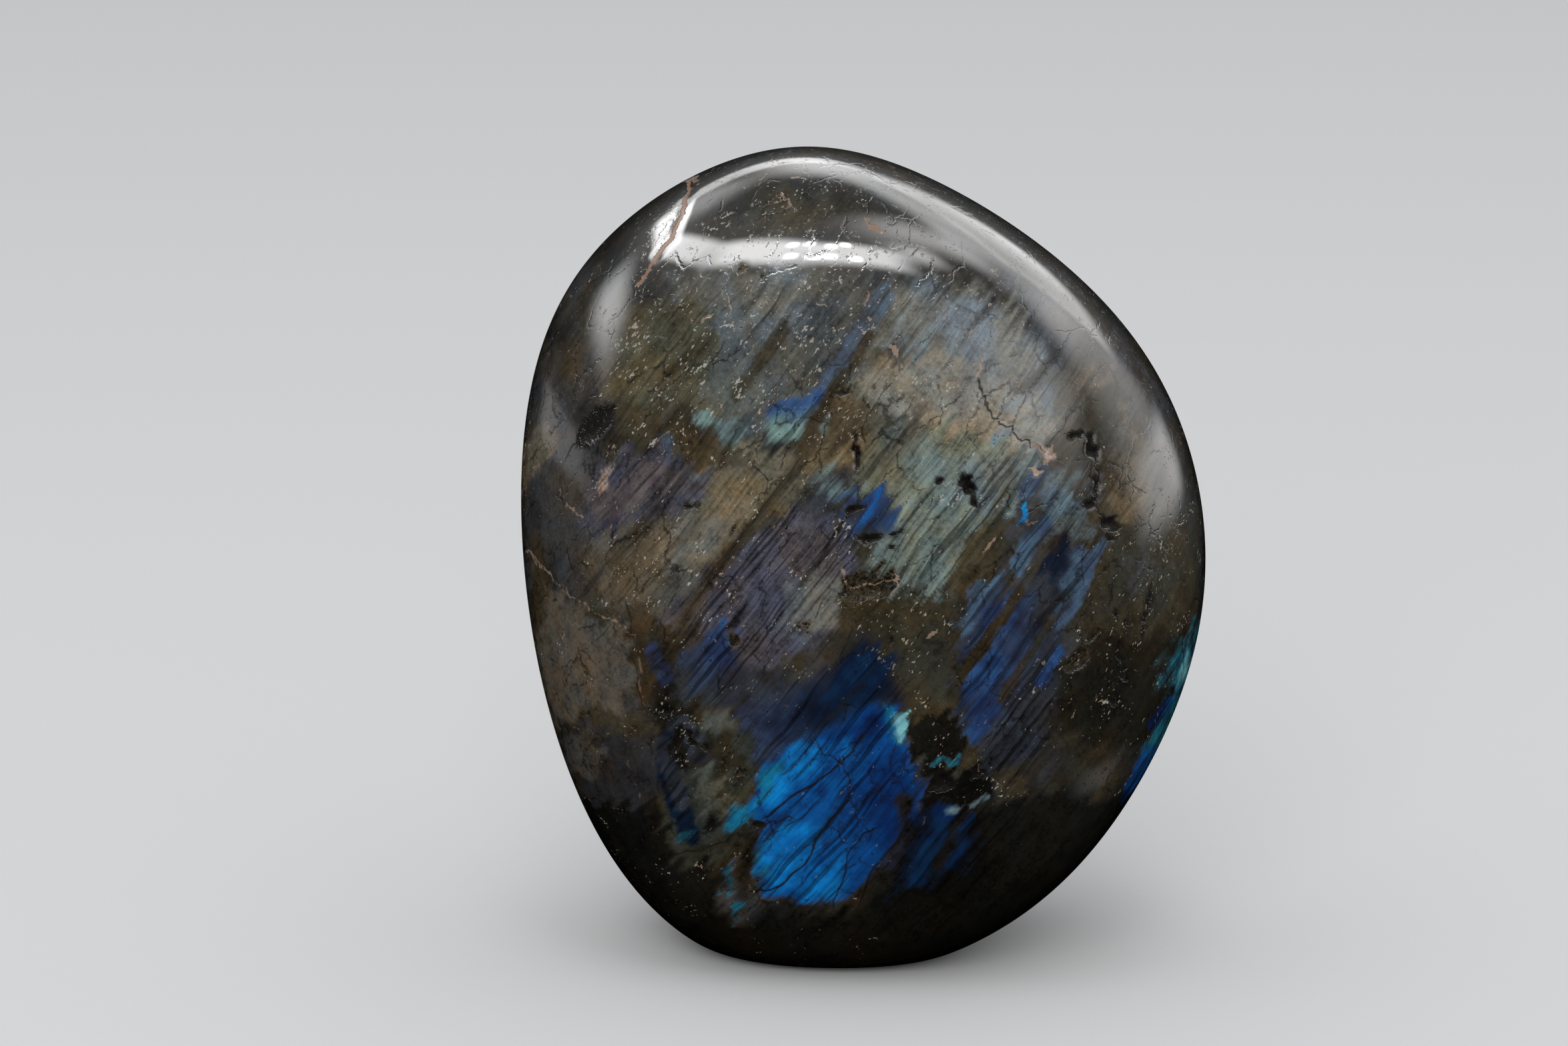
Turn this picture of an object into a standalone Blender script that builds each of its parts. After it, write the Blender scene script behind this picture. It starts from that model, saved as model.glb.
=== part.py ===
"""Polished labradorite freeform: one upright stone, ground into shallow domed faces and cut flat below.

Metres, +Z up. The origin is on the cut base, midway across the stone's width and depth. The front of the
stone, which holds the large blue flash, looks along -Y.
"""

import math
from typing import NamedTuple

import bmesh
import bpy
from mathutils import Quaternion, Vector
from mathutils.bvhtree import BVHTree

MM = 0.001

# Driving dimensions. Reaches are measured from the core, a point inside the stone on its middle line.
CORE_HEIGHT = 54.0 * MM
SEAM_SHARPNESS = 14.0
SPHERE_DIVISIONS = 5
PIT_DIVISIONS = 2
PIT_RAISE = 0.22
GROOVE_RADIUS = 0.9 * MM
GROOVE_BEVEL_RESOLUTION = 1
GROOVE_WELD = 0.00001
GROOVE_STEPS = 4
SHADE_SMOOTH_BELOW = math.radians(30.0)

STONE_NAME = "labradorite_stone"
PARTS_COLLECTION = "labradorite_freeform"
CUTTERS_COLLECTION = "cutters"


class Facet(NamedTuple):
    """One face ground on the wheel, as a dome.

    turn: which way it looks about +Z, in degrees from +X, so that -90 is the front.
    tilt: how far it looks up, in degrees above the horizon.
    reach: how far its middle lies from the core.
    dome: the radius that it curves with.
    """

    turn: float
    tilt: float
    reach: float
    dome: float


class Pit(NamedTuple):
    """One hollow where a grain broke out of the polished surface.

    across, up: its place on the stone as seen from its side, in x and z.
    wide, tall, deep: the half axes of the squashed ball that fits it.
    lean: how far its long axis turns about the surface's normal, in degrees.
    on_back: whether it lies on the back, where y is positive.
    """

    across: float
    up: float
    wide: float
    tall: float
    deep: float
    lean: float = 0.0
    on_back: bool = False


FACETS = {
    "front": Facet(-92, 4, 31.0 * MM, 160 * MM),
    "front crown": Facet(-95, 38, 50.5 * MM, 140 * MM),
    "front right": Facet(-55, 8, 42.0 * MM, 140 * MM),
    "front left": Facet(-135, 0, 42.0 * MM, 140 * MM),
    "front foot": Facet(-90, -38, 53.0 * MM, 140 * MM),
    "back": Facet(90, 0, 31.0 * MM, 160 * MM),
    "back crown": Facet(95, 40, 51.0 * MM, 140 * MM),
    "back right": Facet(50, 0, 42.0 * MM, 140 * MM),
    "back left": Facet(130, 0, 42.0 * MM, 140 * MM),
    "back foot": Facet(90, -40, 53.5 * MM, 140 * MM),
    "right": Facet(0, -2, 49.0 * MM, 110 * MM),
    "upper right": Facet(0, 27, 51.3 * MM, 200 * MM),
    "shoulder": Facet(0, 54, 50.6 * MM, 200 * MM),
    "top": Facet(178, 83, 72.0 * MM, 110 * MM),
    "upper left": Facet(180, 44, 59.0 * MM, 110 * MM),
    "left": Facet(180, -7, 48.5 * MM, 200 * MM),
    "left flank": Facet(180, -26, 55.4 * MM, 200 * MM),
    "lower left": Facet(180, -50, 60.0 * MM, 110 * MM),
    "lower right": Facet(0, -31, 49.2 * MM, 300 * MM),
    "right foot": Facet(0, -54, 54.0 * MM, 150 * MM),
    "bottom": Facet(0, -88, 68.0 * MM, 110 * MM),
}

PITS = {
    "middle pit": Pit(0.6 * MM, 57.2 * MM, 4.0 * MM, 2.3 * MM, 1.0 * MM, lean=8),
    "long slit": Pit(-0.8 * MM, 75.0 * MM, 0.7 * MM, 2.6 * MM, 0.8 * MM, lean=12),
    "blue field pit": Pit(13.5 * MM, 70.0 * MM, 1.0 * MM, 2.6 * MM, 0.8 * MM, lean=22),
    "right row upper": Pit(30.2 * MM, 75.2 * MM, 0.9 * MM, 2.0 * MM, 0.7 * MM, lean=35),
    "right row lower": Pit(31.2 * MM, 66.0 * MM, 1.6 * MM, 1.1 * MM, 0.7 * MM),
    "lower right pit": Pit(29.0 * MM, 48.4 * MM, 1.2 * MM, 2.6 * MM, 0.9 * MM, lean=-38),
    "left hollow": Pit(-35.5 * MM, 75.5 * MM, 2.2 * MM, 3.4 * MM, 0.8 * MM, lean=-30),
    "dark core pit": Pit(10.8 * MM, 30.0 * MM, 1.5 * MM, 2.0 * MM, 0.6 * MM, lean=-20),
    "back upper pit": Pit(12.0 * MM, 80.0 * MM, 2.8 * MM, 1.7 * MM, 0.9 * MM, lean=25, on_back=True),
    "back lower pit": Pit(-16.0 * MM, 47.0 * MM, 1.5 * MM, 3.2 * MM, 0.9 * MM, lean=40, on_back=True),
}

# The groove of a soft vein runs over the upper left edge: directions from the core, as turn and tilt.
VEIN_DIRECTIONS = [
    (125, 58),
    (155, 62),
    (195, 63),
    (207, 58),
    (209, 54),
    (207, 49),
    (206, 43),
]


def clear_scene() -> None:
    """Removes every object that the file holds."""
    for item in list(bpy.data.objects):
        bpy.data.objects.remove(item, do_unlink=True)


def new_collection(name: str) -> bpy.types.Collection:
    """Adds a collection of this name to the scene."""
    collection = bpy.data.collections.new(name)
    bpy.context.scene.collection.children.link(collection)
    return collection


def direction_of(turn: float, tilt: float) -> Vector:
    """The unit vector that looks this way: turn about +Z from +X, tilt above the horizon, both in degrees."""
    level = math.cos(math.radians(tilt))
    return Vector(
        (
            math.cos(math.radians(turn)) * level,
            math.sin(math.radians(turn)) * level,
            math.sin(math.radians(tilt)),
        )
    )


def distance_to_facet(direction: Vector, facet: Facet) -> float:
    """How far from the core a ray in this direction meets the facet's dome."""
    centre = direction_of(facet.turn, facet.tilt) * (facet.reach - facet.dome)
    along = direction.dot(centre)
    return along + math.sqrt(along**2 + facet.dome**2 - centre.length_squared)


def distance_to_surface(direction: Vector) -> float:
    """How far the stone reaches in this direction: to the nearest dome, eased where two domes meet."""
    crowding = sum(distance_to_facet(direction, facet) ** -SEAM_SHARPNESS for facet in FACETS.values())
    return crowding ** (-1.0 / SEAM_SHARPNESS)


def surface_point(direction: Vector) -> Vector:
    """The surface's point in this direction from the core, before the stone is centred."""
    return Vector((0.0, 0.0, CORE_HEIGHT)) + direction * distance_to_surface(direction)


def cut_flat(stone: bmesh.types.BMesh) -> None:
    """Saws the stone off at z = 0 and closes it with one flat face."""
    everything = stone.verts[:] + stone.edges[:] + stone.faces[:]
    sawn = bmesh.ops.bisect_plane(
        stone,
        geom=everything,
        plane_co=(0.0, 0.0, 0.0),
        plane_no=(0.0, 0.0, 1.0),
        clear_inner=True,
    )
    rim = [item for item in sawn["geom_cut"] if isinstance(item, bmesh.types.BMEdge)]
    bmesh.ops.edgeloop_fill(stone, edges=rim)
    bmesh.ops.recalc_face_normals(stone, faces=stone.faces[:])


def centre_offset(stone: bmesh.types.BMesh) -> Vector:
    """The level vector that brings the middle of the stone's width and depth to the origin."""
    xs = [vert.co.x for vert in stone.verts]
    ys = [vert.co.y for vert in stone.verts]
    return Vector((-(min(xs) + max(xs)) / 2, -(min(ys) + max(ys)) / 2, 0.0))


def stone_material() -> bpy.types.Material:
    """Dark grey-green feldspar with a polish."""
    material = bpy.data.materials.new("polished labradorite")
    material.use_nodes = True
    shader = material.node_tree.nodes["Principled BSDF"]
    shader.inputs["Base Color"].default_value = (0.055, 0.075, 0.085, 1.0)
    shader.inputs["Roughness"].default_value = 0.12
    shader.inputs["Metallic"].default_value = 0.0
    return material


def make_stone(collection: bpy.types.Collection) -> tuple[bpy.types.Object, BVHTree, Vector]:
    """Shapes the ground stone, flat base included, without its pits.

    Args:
        collection: where the stone goes.

    Returns:
        The stone, a tree of its whole surface for placing things on it, and the offset that centred it.
    """
    stone = bmesh.new()
    bmesh.ops.create_icosphere(stone, subdivisions=SPHERE_DIVISIONS, radius=1.0)
    for vert in stone.verts:
        vert.co = surface_point(vert.co.normalized())
    offset = centre_offset(stone)
    bmesh.ops.translate(stone, vec=offset, verts=stone.verts[:])
    cut_flat(stone)
    surface = BVHTree.FromBMesh(stone)
    mesh = bpy.data.meshes.new(STONE_NAME)
    stone.to_mesh(mesh)
    stone.free()
    mesh.materials.append(stone_material())
    mesh.shade_smooth()
    mesh.set_sharp_from_angle(angle=SHADE_SMOOTH_BELOW)
    item = bpy.data.objects.new(STONE_NAME, mesh)
    collection.objects.link(item)
    return item, surface, offset


def link_cutter(name: str, mesh: bpy.types.Mesh, collection: bpy.types.Collection) -> bpy.types.Object:
    """Adds a wire-drawn cutter that a render leaves out."""
    cutter = bpy.data.objects.new(name, mesh)
    cutter.hide_render = True
    cutter.display_type = "WIRE"
    collection.objects.link(cutter)
    return cutter


def pit_cutter(name: str, pit: Pit, surface: BVHTree, collection: bpy.types.Collection) -> bpy.types.Object:
    """A squashed ball whose short axis lies along the surface's normal and whose middle lies just above it.

    Args:
        name: the cutter's name.
        pit: the hollow that it leaves.
        surface: the stone's surface.
        collection: where cutters go.

    Returns:
        The cutter.
    """
    side = 1.0 if pit.on_back else -1.0
    start = Vector((pit.across, side, pit.up))
    place, normal, _, _ = surface.ray_cast(start, Vector((0.0, -side, 0.0)))
    shape = bmesh.new()
    bmesh.ops.create_icosphere(shape, subdivisions=PIT_DIVISIONS, radius=1.0)
    bmesh.ops.scale(shape, vec=(pit.wide, pit.tall, pit.deep), verts=shape.verts[:])
    mesh = bpy.data.meshes.new(name)
    shape.to_mesh(mesh)
    shape.free()
    cutter = link_cutter(name, mesh, collection)
    cutter.rotation_mode = "QUATERNION"
    spin = Quaternion((0.0, 0.0, 1.0), math.radians(pit.lean))
    cutter.rotation_quaternion = normal.to_track_quat("Z", "Y") @ spin
    cutter.location = place + normal * PIT_RAISE * pit.deep
    return cutter


def vein_path(offset: Vector) -> list[Vector]:
    """The groove's middle line on the centred stone, in steps short enough to follow the surface."""
    corners = [direction_of(turn, tilt) for turn, tilt in VEIN_DIRECTIONS]
    line = [corners[0]]
    for start, end in zip(corners, corners[1:]):
        line += [start.lerp(end, step / GROOVE_STEPS).normalized() for step in range(1, GROOVE_STEPS + 1)]
    return [surface_point(direction) + offset for direction in line]


def groove_cutter(offset: Vector, collection: bpy.types.Collection) -> bpy.types.Object:
    """A round bar that follows the soft vein over the stone's upper left edge, half sunk in the surface.

    Args:
        offset: the offset that centred the stone.
        collection: where cutters go.

    Returns:
        The cutter, as a closed mesh.
    """
    curve = bpy.data.curves.new("vein path", "CURVE")
    curve.dimensions = "3D"
    curve.bevel_depth = GROOVE_RADIUS
    curve.bevel_resolution = GROOVE_BEVEL_RESOLUTION
    curve.use_fill_caps = True
    path = curve.splines.new("POLY")
    places = vein_path(offset)
    path.points.add(len(places) - 1)
    for point, place in zip(path.points, places):
        point.co = (*place, 1.0)
    guide = bpy.data.objects.new("vein path", curve)
    collection.objects.link(guide)
    graph = bpy.context.evaluated_depsgraph_get()
    mesh = bpy.data.meshes.new_from_object(guide.evaluated_get(graph))
    bpy.data.objects.remove(guide, do_unlink=True)
    bar = bmesh.new()
    bar.from_mesh(mesh)
    bmesh.ops.remove_doubles(bar, verts=bar.verts[:], dist=GROOVE_WELD)
    bmesh.ops.recalc_face_normals(bar, faces=bar.faces[:])
    bar.to_mesh(mesh)
    bar.free()
    return link_cutter("vein groove", mesh, collection)


def cut(target: bpy.types.Object, cutter: bpy.types.Object) -> None:
    """Takes the cutter's shape out of the target."""
    modifier = target.modifiers.new(cutter.name, "BOOLEAN")
    modifier.operation = "DIFFERENCE"
    modifier.solver = "EXACT"
    modifier.object = cutter


def main() -> None:
    """Builds the stone and cuts its vein groove and pits."""
    clear_scene()
    parts = new_collection(PARTS_COLLECTION)
    cutters = new_collection(CUTTERS_COLLECTION)
    stone, surface, offset = make_stone(parts)
    cut(stone, groove_cutter(offset, cutters))
    for name, pit in PITS.items():
        cut(stone, pit_cutter(name, pit, surface, cutters))


main()
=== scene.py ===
"""Looks of the polished labradorite freeform: its fine surface, its flashing and cloudy feldspar, and the studio."""

import logging
import math
from dataclasses import dataclass, field, replace
from enum import Enum
from functools import reduce
from typing import NamedTuple

import bpy
import numpy as np
from mathutils import Matrix, Vector, noise


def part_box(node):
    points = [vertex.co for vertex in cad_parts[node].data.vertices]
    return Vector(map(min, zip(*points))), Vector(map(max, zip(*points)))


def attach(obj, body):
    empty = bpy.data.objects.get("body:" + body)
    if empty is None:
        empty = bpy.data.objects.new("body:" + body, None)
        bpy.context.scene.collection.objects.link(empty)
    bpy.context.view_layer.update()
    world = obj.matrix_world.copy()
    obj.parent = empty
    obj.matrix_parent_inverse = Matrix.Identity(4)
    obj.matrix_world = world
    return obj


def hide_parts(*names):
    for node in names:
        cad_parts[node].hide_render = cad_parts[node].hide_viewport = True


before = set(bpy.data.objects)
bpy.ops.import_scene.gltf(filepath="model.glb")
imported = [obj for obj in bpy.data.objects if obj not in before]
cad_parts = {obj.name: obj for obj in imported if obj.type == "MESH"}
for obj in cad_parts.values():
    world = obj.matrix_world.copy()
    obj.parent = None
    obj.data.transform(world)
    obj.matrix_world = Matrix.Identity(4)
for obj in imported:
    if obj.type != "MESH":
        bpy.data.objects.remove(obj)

logging.basicConfig(level=logging.INFO, format="%(message)s")
log = logging.getLogger("labradorite")

MM = 0.001
CAD_NODE = "labradorite_stone"
STONE_PIECE = "labradorite_polished"
PIXELS_PER_MM = 10.8
LAMELLA_SLOPE = math.radians(52.0)
PLAIN_BANDING = 0.45
PLAIN_FLECKING = 0.12
NOWHERE_NEAR = 99.0
LEAST_AMOUNT = 1e-6
BODY_ATTRIBUTE = "body_colour"
FLASH_ATTRIBUTE = "flash_colour"
TRAITS_ATTRIBUTE = "traits"
DAMAGE_ATTRIBUTE = "damage"
RUST_ATTRIBUTE = "rust_seams"
TAN_ATTRIBUTE = "tan_seams"
CRACK_ATTRIBUTE = "cracks"

Spot = tuple[float, float]
Limits = tuple[float, float]
Colour = tuple[float, float, float]
Sizes = tuple[float, float, float]

# Dark fill for dirt in fissures, cracks and pits, and for the painted shadow beside each crack.
DIRT_AND_SHADOW: Colour = (0.005, 0.004, 0.003)


class Tint(Enum):
    """The colours in the stone, linear red, green and blue; some of the darkest also paint shade where the stone
    curves under towards its base.
    """

    SMOKE = (0.020, 0.019, 0.016)
    SOOT_AND_SHADE = (0.005, 0.0045, 0.003)
    SHADE = (0.0075, 0.0070, 0.0050)
    UMBER_SHADE = (0.010, 0.0075, 0.0045)
    DARK_OLIVE = (0.013, 0.011, 0.0065)
    PEWTER = (0.024, 0.022, 0.022)
    MAUVE_GREY = (0.021, 0.023, 0.030)
    SLATE_BLUE = (0.023, 0.026, 0.034)
    UMBER = (0.026, 0.019, 0.009)
    OCHRE_SHADOW = (0.042, 0.032, 0.016)
    GOLDEN = (0.045, 0.029, 0.013)
    MOSS = (0.036, 0.031, 0.019)
    OLIVE_SHADE = (0.034, 0.035, 0.025)
    OLIVE = (0.066, 0.058, 0.034)
    FLANK = (0.045, 0.040, 0.036)
    SLATE = (0.050, 0.050, 0.058)
    GLASS_GREY = (0.090, 0.075, 0.057)
    WARM_GREY = (0.078, 0.066, 0.048)
    COOL_GREY = (0.080, 0.084, 0.078)
    SAGE = (0.090, 0.088, 0.066)
    KHAKI = (0.132, 0.107, 0.066)
    BEIGE = (0.205, 0.182, 0.142)
    PALE_GREY = (0.122, 0.134, 0.135)
    TEAL_GREY = (0.130, 0.152, 0.126)
    VIOLET_GREY = (0.066, 0.062, 0.078)
    LILAC = (0.075, 0.061, 0.064)
    PALE_SKY = (0.090, 0.130, 0.160)
    AZURE = (0.0004, 0.048, 0.190)
    BRIGHT_AZURE = (0.0004, 0.130, 0.385)
    SPARK = (0.002, 0.150, 0.350)
    TURQUOISE = (0.003, 0.110, 0.200)
    ROYAL = (0.0004, 0.0135, 0.078)
    DUSK_BLUE = (0.002, 0.007, 0.021)
    POOL_BLUE = (0.001, 0.014, 0.048)
    INDIGO = (0.018, 0.030, 0.070)
    IRIS = (0.014, 0.044, 0.130)
    STEEL_BLUE = (0.045, 0.078, 0.130)
    SEA_TEAL = (0.010, 0.110, 0.150)
    PALE_TEAL = (0.112, 0.176, 0.168)
    ICE = (0.150, 0.380, 0.420)
    PINK_STONE = (0.420, 0.290, 0.220)


class Side(Enum):
    """Which side of the stone a marking is on, and so the sheet that its places are read on.

    FRONT reads the photograph's 2350 x 1568 pixel frame. BACK reads millimetres on the back seen from behind, with
    right to the right and up up, from the middle of the base.
    """

    FRONT = "front"
    BACK = "back"


def smooth_step(low: float, high: float, values: np.ndarray) -> np.ndarray:
    """0 below low and 1 above high, easing between; low may be the greater."""
    share = np.clip((values - low) / (high - low), 0.0, 1.0)
    return share * share * (3.0 - 2.0 * share)


def offset_from_path(places: np.ndarray, path: np.ndarray) -> np.ndarray:
    """How far each place lies from a path of straight runs, below 0 on one side of it and above on the other.

    Args:
        places: places on a sheet, one a row.
        path: the path's corners, one a row.

    Returns:
        One offset a place, in the sheet's own unit.
    """
    nearest = np.full(len(places), np.inf)
    for start, end in zip(path, path[1:]):
        run, gap = end - start, places - start
        share = np.clip(gap @ run / (run @ run), 0.0, 1.0)
        distance = np.linalg.norm(gap - share[:, None] * run, axis=1)
        offset = np.where(run[0] * gap[:, 1] < run[1] * gap[:, 0], -distance, distance)
        nearest = np.where(distance < np.abs(nearest), offset, nearest)
    return nearest


def inside_outline(places: np.ndarray, outline: np.ndarray) -> np.ndarray:
    """Which places lie inside a closed outline.

    Args:
        places: places on a sheet, one a row.
        outline: its corners, one a row, the last of them the first again.

    Returns:
        True for each place inside.
    """
    across, up = places.T
    odd = np.zeros(len(places), bool)
    for start, end in zip(outline, outline[1:]):
        if start[1] == end[1]:
            continue
        level = (start[1] > up) != (end[1] > up)
        odd ^= level & (across < start[0] + (end[0] - start[0]) * (up - start[1]) / (end[1] - start[1]))
    return odd


@dataclass(frozen=True)
class Sheet:
    """The stone's points as read on one side's sheet.

    facing is 1 where the stone faces that side and 0 where it doesn't, wander how far a ragged edge strays at each
    point, per_mm the sheet's units in a millimetre, and up 1 where they grow upwards and -1 where they grow down.
    """

    places: np.ndarray
    facing: np.ndarray
    wander: np.ndarray
    per_mm: float
    up: float

    def strayed(self, ragged: float) -> np.ndarray:
        """The places, moved as far as an edge of this raggedness strays."""
        return self.places + ragged * self.wander

    def offset(self, path: tuple[Spot, ...], ragged: float) -> np.ndarray:
        """How far each point lies to one side of a path, in millimetres."""
        return offset_from_path(self.strayed(ragged), np.array(path, float)) / self.per_mm

    def beside(self, path: tuple[Spot, ...], ragged: float) -> np.ndarray:
        """How far each point lies from a path, in millimetres."""
        return np.abs(self.offset(path, ragged))


@dataclass(frozen=True)
class Patch:
    """An area of one colour with a ragged, feathered edge.

    outline is its corner places, feather its soft edge in millimetres, strength how much it covers, and ragged how
    far its edge strays. banded says how plainly lamellae show in it, and flecked how thickly pale chips lie.
    """

    tint: Tint
    outline: tuple[Spot, ...]
    feather: float = 1.5
    strength: float = 1.0
    ragged: float = 1.0
    side: Side = Side.FRONT
    banded: float = PLAIN_BANDING
    flecked: float = PLAIN_FLECKING

    def cover(self, sheets: dict[Side, Sheet]) -> np.ndarray:
        """How far it covers the stone.

        Args:
            sheets: the stone's points, a sheet a side.

        Returns:
            A share of 0 to 1 for each point.
        """
        sheet = sheets[self.side]
        closed = (*self.outline, self.outline[0])
        distance = sheet.beside(closed, self.ragged)
        inside = inside_outline(sheet.strayed(self.ragged), np.array(closed, float))
        signed = np.where(inside, -distance, distance)
        return self.strength * smooth_step(self.feather / 2, -self.feather / 2, signed) * sheet.facing


@dataclass(frozen=True)
class Stroke:
    """A band of one colour along a path of places: width and feather are in millimetres."""

    tint: Tint
    path: tuple[Spot, ...]
    width: float
    feather: float = 0.5
    strength: float = 1.0
    ragged: float = 0.3
    side: Side = Side.FRONT

    def cover(self, sheets: dict[Side, Sheet]) -> np.ndarray:
        """How far it covers the stone.

        Args:
            sheets: the stone's points, a sheet a side.

        Returns:
            A share of 0 to 1 for each point.
        """
        sheet = sheets[self.side]
        distance = sheet.beside(self.path, self.ragged)
        return self.strength * smooth_step(self.width / 2 + self.feather, self.width / 2, distance) * sheet.facing


@dataclass(frozen=True)
class Seam:
    """A thin crooked line along a path, its width in millimetres; a strength under 1 leaves it broken.

    gone says how far from it nothing of it is left, and fade over how much of that it comes in.
    """

    path: tuple[Spot, ...]
    width: float
    strength: float = 1.0
    side: Side = Side.FRONT
    ragged: float = 0.3
    gone: float = 1.05
    fade: float = 0.7
    least_facing: float = 0.05

    def lie(self, sheets: dict[Side, Sheet]) -> np.ndarray:
        """How the stone's points lie to it.

        Args:
            sheets: the stone's points, a sheet a side.

        Returns:
            For each point, its millimetres to one side, how present the seam is there, and half its width.
        """
        sheet = sheets[self.side]
        offset = np.where(sheet.facing > self.least_facing, sheet.offset(self.path, self.ragged), NOWHERE_NEAR)
        present = self.strength * np.clip((self.gone - np.abs(offset)) / self.fade, 0.0, 1.0) * sheet.facing
        return np.stack([offset, present, np.full(len(offset), self.width / 2)], axis=1)


@dataclass(frozen=True)
class Pit:
    """A hollow in the polish, as an ellipse on its side's sheet.

    wide and tall are half its size, deep its depth, in millimetres, and lean how far it is turned anticlockwise, in
    degrees. inset says how much narrower the hollow is than its dark mouth.
    """

    tint: Tint
    place: Spot
    wide: float
    tall: float
    deep: float
    lean: float = 0.0
    side: Side = Side.FRONT
    strength: float = 0.9
    ragged: float = 0.35
    inset: float = 1.2
    least_facing: float = 0.5

    def reach(self, sheets: dict[Side, Sheet]) -> np.ndarray:
        """How far out the stone's points lie in it.

        Args:
            sheets: the stone's points, a sheet a side.

        Returns:
            0 at its middle and 1 on its edge, for each point.
        """
        sheet = sheets[self.side]
        offset = (sheet.strayed(self.ragged) - np.array(self.place)) / sheet.per_mm
        lean = math.radians(self.lean)
        across = offset[:, 0] * math.cos(lean) + offset[:, 1] * sheet.up * math.sin(lean)
        up = offset[:, 1] * sheet.up * math.cos(lean) - offset[:, 0] * math.sin(lean)
        return np.sqrt((across / self.wide) ** 2 + (up / self.tall) ** 2)

    def share(self, sheets: dict[Side, Sheet]) -> np.ndarray:
        """How deep each point lies in it, from 0 outside to 1 at its floor."""
        hollow = np.clip(1.0 - (self.inset * self.reach(sheets)) ** 2, 0.0, 1.0)
        return hollow * (sheets[self.side].facing > self.least_facing)

    def inner(self, sheets: dict[Side, Sheet]) -> np.ndarray:
        """A half on each point of its edge, rising to 1 inside and falling to 0 half a millimetre outside."""
        inwards = (1.0 - self.reach(sheets)) * min(self.wide, self.tall)
        return np.clip(0.5 + inwards, 0.0, 1.0) * (sheets[self.side].facing > self.least_facing)


@dataclass(frozen=True)
class Groove:
    """A shallow open seam in the polish along a path, width and depth in millimetres."""

    path: tuple[Spot, ...]
    width: float
    deep: float
    side: Side = Side.FRONT
    ragged: float = 0.25
    least_facing: float = 0.4

    def depth(self, sheets: dict[Side, Sheet]) -> np.ndarray:
        """How deep it is ground.

        Args:
            sheets: the stone's points, a sheet a side.

        Returns:
            How far each point sinks, in millimetres.
        """
        sheet = sheets[self.side]
        share = sheet.beside(self.path, self.ragged) / (self.width / 2)
        return self.deep * np.clip(1.0 - share**2, 0.0, 1.0) * (sheet.facing > self.least_facing)


Mark = Patch | Stroke | Seam | Pit | Groove


def on_back(*marks: Mark) -> tuple[Mark, ...]:
    """These markings, on the back of the stone."""
    return tuple(replace(mark, side=Side.BACK) for mark in marks)


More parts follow.
